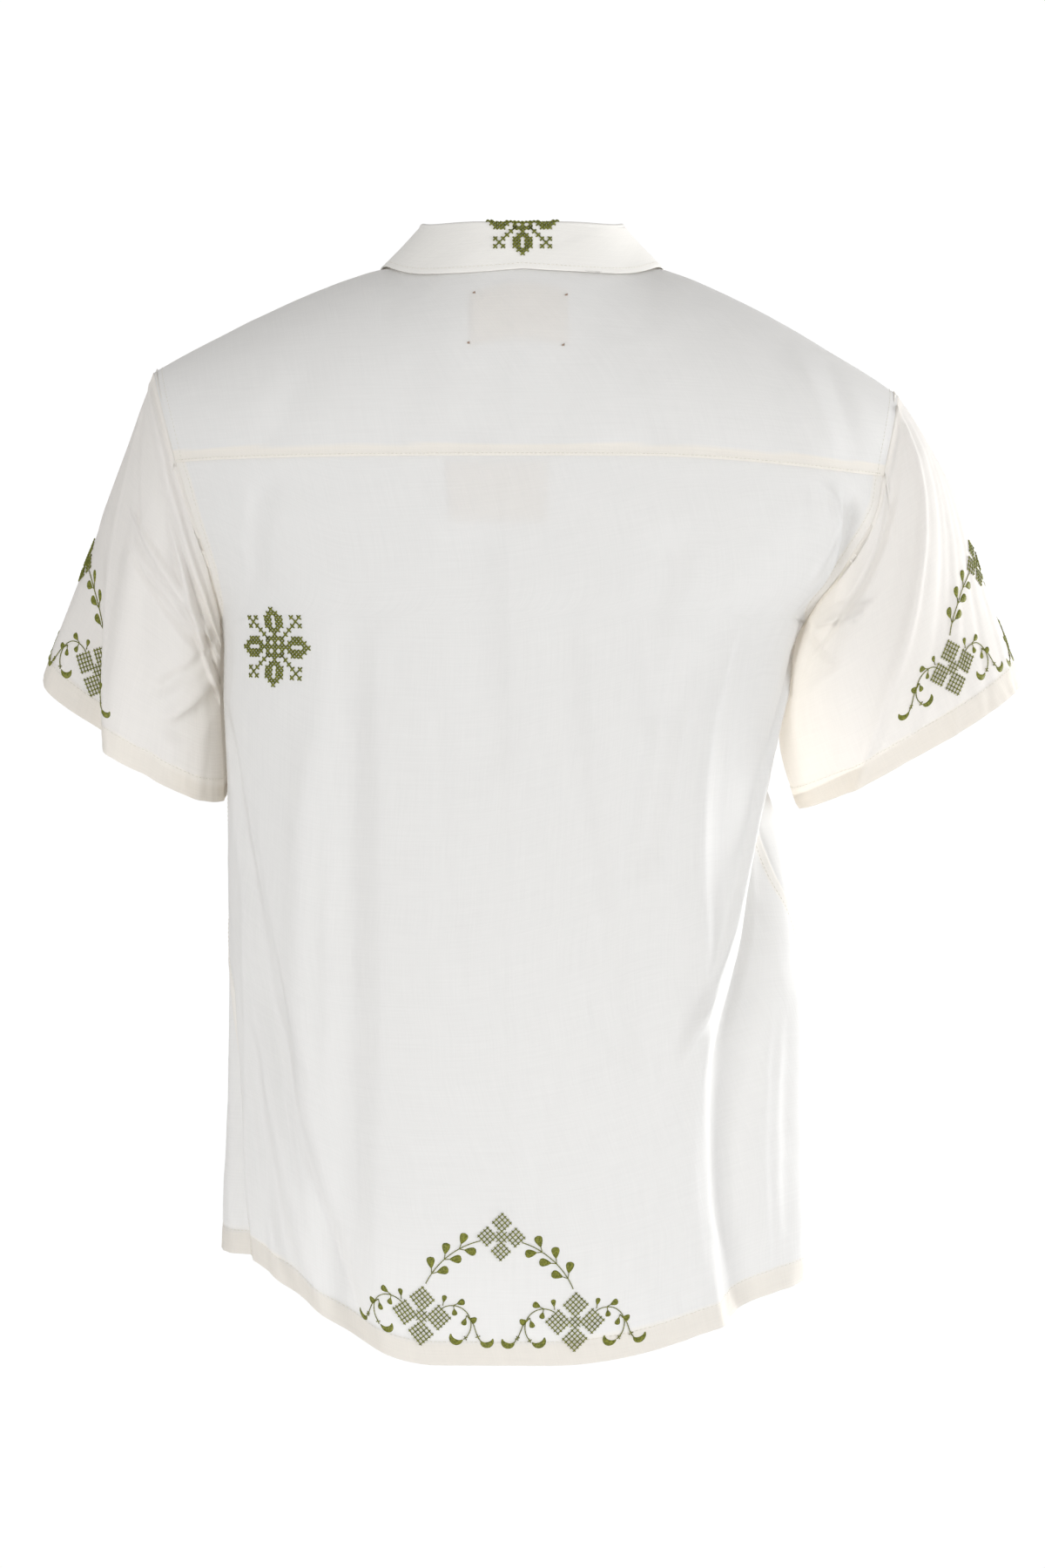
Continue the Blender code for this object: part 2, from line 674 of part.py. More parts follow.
def lapel_grid(side):
    """The facing that shows on a lapel, from the top button up to the collar's end, laid on its front."""
    grid = []
    for share in steps(LAPEL_ROWS):
        lift = mix(LAPEL_LOW_LIFT, LAPEL_TOP_LIFT, share)
        inner = front_inner_turn(side, lift) - LAPEL_INSET
        outer = inner - mix(LAPEL_POINT, LAPEL_WIDTH, share)
        line = [arch_point(side.sign * mix(inner, outer, column), lift) for column in steps(LAPEL_COLUMNS)]
        grid.append(line)
    return grid


def label_grids():
    neck = []
    for row in steps(LABEL_ROWS):
        lift = mix(NECK_LABEL.low, NECK_LABEL.top, row)
        line = []
        for column in steps(LABEL_COLUMNS):
            x = mix(NECK_LABEL.left, NECK_LABEL.right, column)
            line.append(shoulder_point(x / shoulder_half_width(LEFT, YOKE_SEAM, lift), lift))
        neck.append(line)
    care = []
    for row in steps(LABEL_ROWS):
        height = mix(CARE_LABEL.low, CARE_LABEL.top, row)
        line = []
        for column in steps(LABEL_COLUMNS):
            x = mix(CARE_LABEL.left, CARE_LABEL.right, column)
            line.append(ring_point(math.degrees(math.asin(x / side_width(LEFT))), height))
        care.append(line)
    inside = -(WALL + UNDER_FACETS)
    return moved_out(neck, inside), moved_out(care, inside)


def material(name, colour, roughness):
    made = bpy.data.materials.new(name)
    made.use_nodes = True
    shader = made.node_tree.nodes["Principled BSDF"]
    shader.inputs["Base Color"].default_value = (*colour, 1)
    shader.inputs["Roughness"].default_value = roughness
    return made


def cloth_panel(name, grid, collection, wall=WALL, colour=CLOTH_COLOUR, closed=False):
    """One panel as an open surface, thickened inward."""
    columns = len(grid[0])
    corners = [point for line in grid for point in line]
    faces = []
    for r in range(len(grid) - 1):
        for c in range(columns if closed else columns - 1):
            low, top, right = r * columns, (r + 1) * columns, (c + 1) % columns
            faces.append((low + c, low + right, top + right, top + c))
    mesh = bpy.data.meshes.new(name)
    mesh.from_pydata(corners, [], faces)
    mesh.materials.append(material(name, colour, CLOTH_ROUGHNESS))
    mesh.shade_smooth()
    panel = bpy.data.objects.new(name, mesh)
    collection.objects.link(panel)
    thickness = panel.modifiers.new("thickness", "SOLIDIFY")
    thickness.thickness = wall
    thickness.offset = -1
    return panel


def button(name, point, outward, collection):
    mesh = bpy.data.meshes.new(name)
    shape = bmesh.new()
    bmesh.ops.create_cone(
        shape,
        cap_ends=True,
        segments=BUTTON_SIDES,
        radius1=BUTTON_RADIUS,
        radius2=BUTTON_RADIUS,
        depth=BUTTON_THICKNESS,
    )
    shape.to_mesh(mesh)
    shape.free()
    mesh.materials.append(material(name, BUTTON_COLOUR, BUTTON_ROUGHNESS))
    made = bpy.data.objects.new(name, mesh)
    made.rotation_euler = outward.to_track_quat("Z", "Y").to_euler()
    made.location = point + outward * (BUTTON_SEAT + BUTTON_THICKNESS / 2)
    collection.objects.link(made)
    edge = made.modifiers.new("edge", "BEVEL")
    edge.width = BUTTON_BEVEL
    edge.segments = 1
    return made


def buttons(collection):
    for i in range(BUTTON_COUNT):
        height = FIRST_BUTTON - i * BUTTON_SPACING
        point = ring_point(180, height)
        above = ring_point(180, height + BUTTON_RADIUS)
        below = ring_point(180, height - BUTTON_RADIUS)
        outward = (above - below).cross(Vector((-1, 0, 0))).normalized()
        button(f"button_{i + 1}", point, outward, collection)


def build():
    for thing in list(bpy.data.objects):
        bpy.data.objects.remove(thing, do_unlink=True)
    collection = bpy.data.collections.new("cotton_shirt")
    bpy.context.scene.collection.children.link(collection)

    back = back_grid()
    yoke = yoke_grid()
    front_left = front_grid(LEFT)
    front_right = tuck_under([line[::-1] for line in front_grid(RIGHT)])
    cloth_panel("back", back, collection)
    cloth_panel("yoke", yoke, collection)
    cloth_panel("front_left", front_left, collection)
    cloth_panel("front_right", front_right, collection)

    left_loop = armhole_loop(back, yoke, front_left, 0)
    right_loop = armhole_loop(back, yoke, [line[::-1] for line in front_right], -1)
    sleeve_left = sleeve_grid(LEFT, LEFT_RINGS, LEFT_SLEEVE_FOLDS, left_loop)
    sleeve_right = sleeve_grid(RIGHT, RIGHT_RINGS, RIGHT_SLEEVE_FOLDS, right_loop)
    cloth_panel("sleeve_left", sleeve_left, collection, closed=True)
    cloth_panel("sleeve_right", sleeve_right, collection, closed=True)

    cloth_panel("collar", collar_grid(), collection, wall=COLLAR_WALL)
    facing_left = lapel_grid(LEFT)
    facing_right = [line[::-1] for line in lapel_grid(RIGHT)]
    cloth_panel("facing_left", moved_out(facing_left, WALL + LAPEL_LAID_ON), collection)
    cloth_panel("facing_right", moved_out(facing_right, WALL + LAPEL_LAID_ON), collection)

    neck_label, care_label = label_grids()
    cloth_panel("label_neck", neck_label, collection, colour=LABEL_COLOUR)
    cloth_panel("label_care", care_label, collection, colour=LABEL_COLOUR)
    buttons(collection)


build()
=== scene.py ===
"""Looks of the short-sleeved cotton shirt: thin cloth, hems, stitching, buttons and embroidery.

Metres, +Z up. The wearer's front faces -Y and the wearer's left side is at +X. The panels follow the
same sections, folds and seams as the shirt's solids, with a finer surface.
"""
import math
from collections import namedtuple

import bpy
import numpy as np
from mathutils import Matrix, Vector

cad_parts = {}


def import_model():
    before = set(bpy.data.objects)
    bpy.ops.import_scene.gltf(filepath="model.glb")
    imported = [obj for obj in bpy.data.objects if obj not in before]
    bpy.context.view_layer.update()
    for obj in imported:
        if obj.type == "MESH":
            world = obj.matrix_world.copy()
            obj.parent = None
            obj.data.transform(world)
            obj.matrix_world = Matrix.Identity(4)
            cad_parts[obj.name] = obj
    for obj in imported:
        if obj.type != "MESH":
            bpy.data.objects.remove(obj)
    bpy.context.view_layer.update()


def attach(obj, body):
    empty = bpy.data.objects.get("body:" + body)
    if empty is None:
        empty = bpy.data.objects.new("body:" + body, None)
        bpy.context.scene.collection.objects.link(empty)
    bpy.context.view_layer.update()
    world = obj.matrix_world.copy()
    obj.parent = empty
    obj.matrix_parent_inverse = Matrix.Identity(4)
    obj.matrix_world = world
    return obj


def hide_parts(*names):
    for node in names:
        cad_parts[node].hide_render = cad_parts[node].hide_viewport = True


UP = np.array((0, 0, 1.0))

# Heights of the body
ARMPIT = -0.240
YOKE_SEAM = -0.135
YOKE_DROOP = 0.009
HEM_CENTRE_BACK = -0.7205
HEM_CENTRE_FRONT = -0.700

# Neck and armholes
NECK_POINT = 0.092
NECK_SLOPE_RISE = 0.040
NECK_HALF_WIDTH = 0.080
NECK_BACK_DEPTH = 0.070
NECK_CORNER = -22
ARMHOLE_TURN = 65
SHOULDER_BEND = 1.25
SQUARENESS = 2.5
PLACING_PASSES = 6

# Front opening
OVERLAP = 0.014
OPEN_LIFT = 168
TUCK_FULL = 0.020
TUCK_NONE = 0.046
TUCK_DEPTH = 0.0022
BUTTON_COUNT = 5
FIRST_BUTTON = -0.152
BUTTON_SPACING = 0.104
BUTTON_RADIUS = 0.0057

Side = namedtuple("Side", "name sign tip drop hem hem_from hem_to")
LEFT = Side("left", 1, 0.248, 0.069, -0.657, 66, 16)
RIGHT = Side("right", -1, 0.252, 0.084, -0.670, 82, 5)

# The body's tube: half widths to the wearer's left and right, how far it reaches back and front, and
# where it is widest
Section = namedtuple("Section", "height left right back front widest")
SECTIONS = [Section(*row) for row in (
    (-0.730, 0.202, 0.196, 0.124, -0.146, 0.010),
    (-0.660, 0.202, 0.194, 0.124, -0.145, 0.010),
    (-0.560, 0.198, 0.190, 0.121, -0.142, 0.010),
    (-0.460, 0.197, 0.186, 0.118, -0.139, 0.012),
    (-0.400, 0.197, 0.175, 0.116, -0.137, 0.015),
    (-0.340, 0.198, 0.170, 0.115, -0.135, 0.020),
    (-0.290, 0.200, 0.174, 0.115, -0.133, 0.022),
    (-0.240, 0.201, 0.188, 0.115, -0.130, 0.022),
    (-0.210, 0.215, 0.222, 0.115, -0.128, 0.018),
    (-0.170, 0.237, 0.254, 0.114, -0.123, 0.010),
    (-0.135, 0.252, 0.264, 0.112, -0.117, 0.004),
)]

# Side seams, in degrees round from centre back
Seam = namedtuple("Seam", "height left right")
SEAMS = [Seam(*row) for row in (
    (-0.730, 62, 104),
    (-0.600, 70, 96),
    (-0.470, 88, 84),
    (-0.400, 90, 78),
    (-0.240, 90, 90),
)]

# Folds: a line from a top to a low end, bowed sideways, with its spread after and before it in turn, and
# its rise. A negative rise is a valley. On the body, turns are degrees round from centre back, positive to
# the wearer's left, and the ends are heights.
Fold = namedtuple("Fold", "top_turn top low_turn low bow after before rise")
BODY_FOLDS = [Fold(*row) for row in (
    (34, -0.30, 34, -0.67, 0, 0.024, 0.022, -0.0045),
    (58, -0.50, 34, -0.69, 0, 0.020, 0.020, -0.0060),
    (76, -0.33, 52, -0.52, 0, 0.020, 0.020, -0.0055),
    (46, -0.36, 44, -0.62, 3, 0.020, 0.020, 0.0035),
    (-8, -0.27, -18, -0.50, 0, 0.022, 0.022, -0.0035),
    (-36, -0.28, -27, -0.39, 0, 0.020, 0.020, -0.0040),
    (9, -0.20, 6, -0.32, 0, 0.022, 0.022, -0.0030),
    (-24, -0.20, -30, -0.30, 0, 0.022, 0.020, -0.0035),
    (-46, -0.30, -40, -0.68, 5, 0.020, 0.024, 0.0040),
    (-92, -0.32, -51, -0.70, 22, 0.036, 0.054, -0.0150),
    (80, -0.50, 66, -0.67, 0, 0.022, 0.022, -0.0080),
    (108, -0.26, 106, -0.41, 0, 0.044, 0.054, -0.0120),
    (-108, -0.26, -106, -0.38, 0, 0.054, 0.044, -0.0080),
    (-60, -0.172, -74, -0.232, 0, 0.020, 0.020, -0.0060),
    (-72, -0.50, -68, -0.66, 0, 0.022, 0.024, 0.0050),
    (128, -0.34, 124, -0.68, 4, 0.026, 0.026, -0.0080),
    (112, -0.44, 108, -0.66, 0, 0.022, 0.022, 0.0050),
    (150, -0.30, 146, -0.66, -3, 0.024, 0.024, -0.0050),
    (139, -0.34, 136, -0.64, 0, 0.022, 0.022, 0.0050),
    (-126, -0.34, -120, -0.67, -4, 0.026, 0.026, -0.0080),
    (-150, -0.28, -145, -0.65, 3, 0.024, 0.024, -0.0055),
    (-137, -0.36, -134, -0.66, 0, 0.022, 0.022, 0.0050),
    (124, -0.22, 146, -0.30, 0, 0.020, 0.020, -0.0040),
    (-124, -0.22, -147, -0.31, 0, 0.020, 0.020, -0.0040),
)]
# Narrower creases on the same cloth
CREASES = [Fold(*row) for row in (
    (2.4, -0.16, 1.2, -0.66, 0, 0.0040, 0.0016, 0.0007),
    (33, -0.34, 32, -0.62, 1, 0.0060, 0.0090, -0.0012),
    (55, -0.51, 35, -0.665, 0, 0.0050, 0.0080, -0.0016),
    (63, -0.386, 51, -0.51, 0, 0.0035, 0.0060, -0.0011),
    (64, -0.53, 47, -0.67, 1, 0.0120, 0.0170, -0.0042),
    (56, -0.50, 41, -0.65, 0, 0.0080, 0.0110, 0.0018),
    (57, -0.60, 52, -0.67, 0, 0.0070, 0.0080, 0.0018),
    (70, -0.41, 66, -0.60, 0, 0.0050, 0.0070, 0.0012),
    (43, -0.150, 54, -0.21, 0, 0.0120, 0.0160, -0.0018),
    (-46, -0.30, -40, -0.66, 4, 0.0070, 0.0110, 0.0022),
    (-82, -0.290, -39, -0.49, 2, 0.0100, 0.0090, 0.0042),
    (-81, -0.285, -39, -0.49, 2, 0.0040, 0.0055, 0.0022),
    (-49, -0.150, -70, -0.225, 0, 0.0060, 0.0050, 0.0030),
    (-90, -0.300, -47, -0.50, 2, 0.0120, 0.0160, -0.0045),
    (-41, -0.64, -48, -0.70, 0, 0.0080, 0.0100, 0.0016),
    (-30, -0.52, -26, -0.66, 2, 0.0090, 0.0120, -0.0014),
    (-52, -0.155, -59, -0.205, 0, 0.0080, 0.0070, 0.0026),
    (-58, -0.160, -66, -0.200, 0, 0.0060, 0.0080, -0.0028),
    (-47, -0.155, -50, -0.190, 0, 0.0080, 0.0090, -0.0014),
    (-14, -0.49, -22, -0.53, 1, 0.0040, 0.0050, -0.0008),
    (-18, -0.48, -27, -0.54, -1, 0.0040, 0.0050, 0.0008),
    (-62, -0.52, -60, -0.66, 2, 0.0060, 0.0080, -0.0014),
    (-84, -0.42, -92, -0.63, 3, 0.0050, 0.0060, -0.0012),
    (16, -0.33, 12, -0.46, 1, 0.0060, 0.0080, -0.0007),
    (-4, -0.55, -2, -0.64, 0, 0.0070, 0.0090, -0.0007),
    (98, -0.30, 96, -0.55, 3, 0.0060, 0.0080, -0.0014),
    (118, -0.36, 121, -0.60, -2, 0.0050, 0.0080, -0.0015),
    (134, -0.28, 140, -0.50, 3, 0.0050, 0.0080, -0.0012),
    (160, -0.24, 158, -0.44, 0, 0.0070, 0.0070, -0.0010),
    (-118, -0.36, -123, -0.58, 2, 0.0060, 0.0080, -0.0014),
    (-140, -0.30, -143, -0.52, -2, 0.0060, 0.0070, -0.0012),
    (-160, -0.25, -157, -0.46, 1, 0.0060, 0.0080, -0.0010),
)]
FOLD_RADIUS = 0.19
FOLD_FADE = 0.25
CHEST_FADE = 0.02

# Sleeve rings from the armhole to the hem: centre, half width, half depth, tilt from level of the line
# from inside to outside, and dip of the back
Ring = namedtuple("Ring", "along x y z half_width half_depth tilt back_dip")
LEFT_RINGS = [Ring(*row) for row in (
    (0.00, 0.2245, 0.004, -0.1545, 0.0887, 0.070, 74.6, 0),
    (0.30, 0.2352, 0.002, -0.2015, 0.0800, 0.066, 63.5, 9),
    (0.65, 0.2477, 0.000, -0.2563, 0.0743, 0.062, 48, 18),
    (1.00, 0.2600, -0.002, -0.3110, 0.0750, 0.058, 31.4, 25),
)]
RIGHT_RINGS = [Ring(*row) for row in (
    (0.00, 0.2200, 0.004, -0.1625, 0.0838, 0.070, 67.6, 0),
    (0.30, 0.2310, 0.002, -0.2107, 0.0905, 0.066, 53.5, 6),
    (0.65, 0.2425, 0.000, -0.2626, 0.0875, 0.062, 39, 10),
    (1.00, 0.2615, -0.002, -0.3160, 0.0860, 0.057, 28.5, 13),
)]
SLEEVE_SQUARENESS = 2.3
ARMHOLE_BLEND = 0.45
BODY_CLEARANCE = 0.0022
SLEEVE_RADIUS = 0.068

# Sleeve folds: turns are degrees from the top, positive to the back, and the ends are shares of its length
LEFT_SLEEVE_FOLDS = [Fold(*row) for row in (
    (46, 0.75, 122, 1.95, 0, 0.022, 0.055, -0.0220),
    (66, 0.45, 84, 1.10, 0, 0.020, 0.014, 0.0040),
    (100, 0.20, 160, 0.45, 0, 0.014, 0.014, 0.0050),
    (118, 0.20, 168, 0.40, 0, 0.010, 0.010, -0.0040),
    (150, 0.42, 112, 0.75, 0, 0.014, 0.014, -0.0050),
    (-70, 0.25, -80, 1.10, 0, 0.018, 0.018, 0.0050),
    (-120, 0.20, -150, 0.60, 0, 0.016, 0.016, -0.0040),
    (18, 0.05, 82, 1.05, 0, 0.005, 0.010, 0.0012),
    (51, 0.05, 135, 0.16, 0, 0.044, 0.050, 0.0040),
    (136, 0.24, 76, 0.31, 0, 0.030, 0.036, 0.0044),
    (134, 0.32, 80, 0.39, 0, 0.036, 0.030, -0.0026),
    (142, 0.24, 99, 0.64, 0, 0.005, 0.009, -0.0036),
    (150, 0.27, 110, 0.66, 0, 0.009, 0.006, 0.0022),
    (20, 0.08, 60, 0.30, 0, 0.008, 0.008, -0.0014),
    (104, 0.55, 96, 1.00, 0, 0.009, 0.009, -0.0012),
    (136, 0.55, 128, 1.00, 0, 0.009, 0.009, 0.0012),
    (-30, 0.20, -44, 0.80, 0, 0.009, 0.009, -0.0014),
    (-96, 0.30, -100, 0.95, 0, 0.008, 0.008, 0.0012),
)]
RIGHT_SLEEVE_FOLDS = [Fold(*row) for row in (
    (45, 0.20, 115, 1.00, 0, 0.030, 0.034, 0.0055),
    (156, 0.12, 152, 0.95, 0, 0.026, 0.045, 0.0085),
    (-70, 0.25, -80, 1.10, 0, 0.018, 0.018, 0.0050),
    (-120, 0.20, -150, 0.60, 0, 0.016, 0.016, -0.0040),
    (43, 0.10, 115, 1.00, 0, 0.008, 0.006, 0.0030),
    (152, 0.04, 104, 0.30, 0, 0.007, 0.010, 0.0044),
    (160, 0.06, 122, 0.38, 0, 0.012, 0.007, -0.0034),
    (30, 0.15, 92, 1.00, 0, 0.006, 0.006, -0.0009),
    (22, 0.20, 74, 1.00, 0, 0.006, 0.006, 0.0010),
    (10, 0.20, 52, 1.00, 0, 0.006, 0.006, -0.0009),
    (-2, 0.25, 30, 1.00, 0, 0.006, 0.006, 0.0010),
    (62, 0.06, 118, 0.22, 0, 0.030, 0.030, -0.0028),
    (-34, 0.22, -46, 0.80, 0, 0.009, 0.009, -0.0014),
    (-98, 0.30, -104, 0.95, 0, 0.008, 0.008, 0.0012),
)]

# Collar stations from centre back to its front end: how far the fold leans to the neck, how high it
# stands over the seam, how far its edge reaches out beyond the seam, and how far it is off the shoulder
Station = namedtuple("Station", "along lean stand reach clearance")
COLLAR_STATIONS = [Station(*row) for row in (
    (0.00, 0.0035, 0.0195, 0.0090, 0.0024),
    (0.30, 0.0060, 0.0240, 0.0122, 0.0022),
    (0.62, 0.0165, 0.0275, 0.0150, 0.0022),
    (0.80, 0.0120, 0.0190, 0.0270, 0.0026),
    (1.00, 0.0040, 0.0080, 0.0440, 0.0060),
)]
COLLAR_ROLL = 0.0028
COLLAR_YOKE_SHARE = 0.78
COLLAR_END_LIFT = 128
COLLAR_PLY = 0.0009
NORMAL_STEP = 0.01
SEAM_STEP = 0.02
LAPEL_TOP_LIFT = 136
LAPEL_LOW_LIFT = 169
LAPEL_WIDTH = 15
LAPEL_POINT = 1.5
LAPEL_LIFT = 0.0026

# Labels inside the back, from left to right and from top to bottom, and what shows of them outside
Label = namedtuple("Label", "left right top low")
NECK_LABEL = Label(0.035, -0.029, 41, 26)
CARE_LABEL = Label(0.051, -0.016, -0.138, -0.178)
LABEL_DEPTH = 0.0012

# Sewing
HEM_BAND = 0.0165
HEM_PLY = 0.0005
SEAM_ALLOWANCE = 0.0082
LAP_UNDER = 0.003
LAP_SINK = 0.0006
LAP_PROUD = 0.00055
LAP_GROOVE = 0.0004
HEM_GROOVE = 0.00035
FACING_GROOVE = 0.0003
EDGE_BLUR = 0.0008
YOKE_LIFT = 0.0004
COLLAR_EDGE = 0.0004
WORN = 0.0004
STITCH_IN = 0.0012
SEAM_STITCH = 0.0060
STITCH = 0.0022
STITCH_GAP = 0.0007
STITCH_RADIUS = 0.00022
FACING_WIDTH = 0.055

# Embroidery
CROSS = 0.00268
LATTICE = 0.00258
CRESCENT = 0.0038
THREAD = 0.00040
LATTICE_THREAD = 0.00038
THREAD_LIFT = 0.0003
ARCH_RADIUS = 0.052
CLUSTER_APART = 0.0495
CLUSTER_RISE = 0.0533

# A rosette's petal by stitch columns from its middle, row by row inward
PETAL = ((0,), (-1, 0, 1), (-2, -1, 1, 2), (-2, -1, 1, 2), (-2, -1, 1, 2), (-1, 0, 1), (0,))
# A scroll's hooks: centre, radius, and the angles at which they start and end
HOOKS = (
    (0.0236, -0.0112, 0.0043, -35, -195),
    (0.0424, -0.0125, 0.0040, 200, 365),
)
# A scroll's leaves: foot, angle, length and width
SCROLL_LEAVES = (
    (0.0135, 0.0078, 80, 0.0068, 0.0030),
    (0.0205, 0.0084, 22, 0.0076, 0.0040),
    (0.0205, 0.0080, -80, 0.0064, 0.0034),
    (0.0292, 0.0022, -108, 0.0068, 0.0034),
    (0.0298, 0.0012, -25, 0.0062, 0.0042),
)

# A button's turned profile, as shares of its radius and depth, and its four holes
BUTTON_PROFILE = (
    (0.0, 0.0), (0.86, 0.0), (1.0, 0.22), (1.0, 0.62), (0.90, 0.95), (0.78, 1.0), (0.66, 0.80), (0.0, 0.72),
)
BUTTON_DEPTH = 0.0024
BUTTON_LIFT = 0.0004
HOLE_OFF = 0.0011
HOLE_RADIUS = 0.00048

# Label tacks on the yoke, seen from behind, across and up
TACKS = ((0.0308, -0.0262), (-0.0274, -0.0279), (0.0342, -0.0602), (-0.0262, -0.0624))

# The cut: each sheet's flat width, length and area
Sheet = namedtuple("Sheet", "node width length area")
SHEETS = [Sheet(*row) for row in (
    ("back", 0.60, 0.60, 0.30),
    ("yoke", 0.53, 0.24, 0.105),
    ("front_left", 0.32, 0.70, 0.19),
    ("front_right", 0.32, 0.70, 0.19),
    ("sleeve_left", 0.44, 0.24, 0.085),
    ("sleeve_right", 0.44, 0.24, 0.09),
    ("collar", 0.46, 0.08, 0.03),
    ("facing_left", 0.07, 0.11, 0.0034),
    ("facing_right", 0.07, 0.11, 0.0034),
)]

# Soft folds of the yoke, upright over its seam
YokeFold = namedtuple("YokeFold", "centre lean width rise")
YOKE_FOLDS = [YokeFold(*row) for row in (
    (0.030, 0.10, 0.016, -0.0016),
    (-0.020, 0.05, 0.014, -0.0014),
    (-0.062, -0.10, 0.013, 0.0012),
    (-0.098, -0.25, 0.012, -0.0016),
    (0.085, 0.30, 0.015, -0.0010),
    (0.165, 0.35, 0.013, -0.0014),
    (-0.185, -0.30, 0.010, -0.0018),
    (-0.205, -0.28, 0.007, 0.0014),
    (-0.222, -0.25, 0.006, -0.0012),
)]

# Studio
FLOOR = -1.95
FLOOR_COLOUR = (0.93, 0.93, 0.935, 1)
BACKDROP = -4.6
BACKDROP_TOP = 4.0
BACKDROP_GLOW = 1.02
SKY = (0.98, 0.985, 1.0, 1)
SKY_STRENGTH = 0.49
CAMERA = (0, 2.4, -0.347)
LENS = 81.4
Light = namedtuple("Light", "name place target size power")
LIGHTS = [Light(*row) for row in (
    ("key", (-2.6, 1.6, -0.3), (0, 0, -0.35), (1.0, 1.6), 36),
    ("fill", (1.5, 2.8, -0.2), (0, 0, -0.25), (1.4, 1.4), 47),
    ("side", (-2.5, -0.9, -0.3), (-0.15, 0, -0.4), (1.0, 1.8), 66),
)]

# Finish
COTTON = (0.800, 0.803, 0.797)
# The sleeves' cotton is the body's cotton tinted warmer: painted warm shade.
SLEEVE_SHADED_COTTON = (0.805, 0.790, 0.766)
CREAM = (0.870, 0.838, 0.775)
WARM_THROUGH = (1.0, 0.955, 0.905)
TAPE = (0.98, 0.965, 0.93)
SHELL = (0.78, 0.74, 0.64)
SHELL_PALE = (0.86, 0.83, 0.76)
SEWING = (0.80, 0.77, 0.69)
SEWING_DARK = (0.66, 0.63, 0.55)
HOLE = (0.20, 0.18, 0.14)
HOLE_DARK = (0.12, 0.11, 0.09)
OLIVE = (0.215, 0.222, 0.036)
OLIVE_DARK = (0.080, 0.092, 0.014)
TACK = (0.36, 0.27, 0.21)


def smooth(value):
    value = np.clip(value, 0, 1)
    return value * value * (3 - 2 * value)


def mix(first, second, share):
    return first + (second - first) * share


def unit(vectors):
    return vectors / np.maximum(np.linalg.norm(vectors, axis=-1, keepdims=True), 1e-12)


def xyz(x, y, z):
    return np.stack(np.broadcast_arrays(x, y, z), -1).astype(float)


def sine(degrees):
    return np.sin(np.radians(degrees))


def cosine(degrees):
    return np.cos(np.radians(degrees))


def together(first, second):
    return np.broadcast_arrays(np.asarray(first, float), np.asarray(second, float))


def arcsine(value):
    return np.degrees(np.arcsin(np.clip(value, -1, 1)))


def bell(off, width):
    return np.exp(-(off / width) ** 2)


def run_of(points):
    """Distances along a line of points."""
    return np.concatenate([[0], np.linalg.norm(np.diff(points, axis=0), axis=1).cumsum()])


def read_line(at, run, values):
    return np.stack([np.interp(at, run, values[:, axis]) for axis in range(3)], -1)


def steps(count):
    return np.linspace(0, 1, count + 1)


def table_value(rows, key, column, place):
    """Reads a column of a table at places along its key, smoothly from row to row."""
    keys = np.array([getattr(row, key) for row in rows], float)
    values = np.array([getattr(row, column) for row in rows], float)
    last = len(keys) - 1
    low, high = np.maximum(np.arange(last + 1) - 1, 0), np.minimum(np.arange(last + 1) + 1, last)
    slopes = (values[high] - values[low]) / (keys[high] - keys[low])
    place = np.clip(place, keys[0], keys[-1])
    step = np.clip(np.searchsorted(keys, place, side="right") - 1, 0, last - 1)
    span = keys[step + 1] - keys[step]
    share = (place - keys[step]) / span
    leaving = (share - 2 * share ** 2 + share ** 3) * span * slopes[step]
    arriving = (share ** 3 - share ** 2) * span * slopes[step + 1]
    return mix(values[step], values[step + 1], smooth(share)) + leaving + arriving


def section(column, height):
    return table_value(SECTIONS, "height", column, height)


def noise(u, v, seed):
    """Smooth values from 0 to 1 over a plane, the same each run."""
    size = 89
    lattice = np.random.RandomState(seed).rand(size, size)
    i, j = np.floor(u).astype(int), np.floor(v).astype(int)
    s, t = smooth(u - i), smooth(v - j)
    low = mix(lattice[i % size, j % size], lattice[(i + 1) % size, j % size], s)
    top = mix(lattice[i % size, (j + 1) % size], lattice[(i + 1) % size, (j + 1) % size], s)
    return mix(low, top, t)


def crumple(u, v, seed):
    """Soft short creases, as worn cotton keeps them, from about -1 to 1."""
    total = 0.0
    for size, weight in ((0.034, 0.6), (0.015, 0.3), (0.007, 0.12)):
        warp = 1.6 * noise(u / size / 2, v / size / 2, seed + 7)
        field = noise(u / size + warp, v / size / 1.7 - warp, seed)
        total = total + weight * (1 - 4 * np.abs(field - 0.5))
        seed += 1
    return total


def fold_rise(folds, turn, place, radius):
    """How far folds move the cloth outward at places round and along a tube."""
    total = 0.0
    for fold in folds:
        share = (place - fold.top) / (fold.low - fold.top)
        ends = smooth((share + FOLD_FADE) / FOLD_FADE) * smooth((1 + FOLD_FADE - share) / FOLD_FADE)
        centre = mix(fold.top_turn, fold.low_turn, share) + fold.bow * 4 * share * (1 - share)
        off = np.radians(turn - centre) * radius
        spread = np.where(off > 0, fold.after, fold.before)
        total = total + fold.rise * ends * np.maximum(0.0, 1 - (off / spread) ** 2) ** 2
    return total


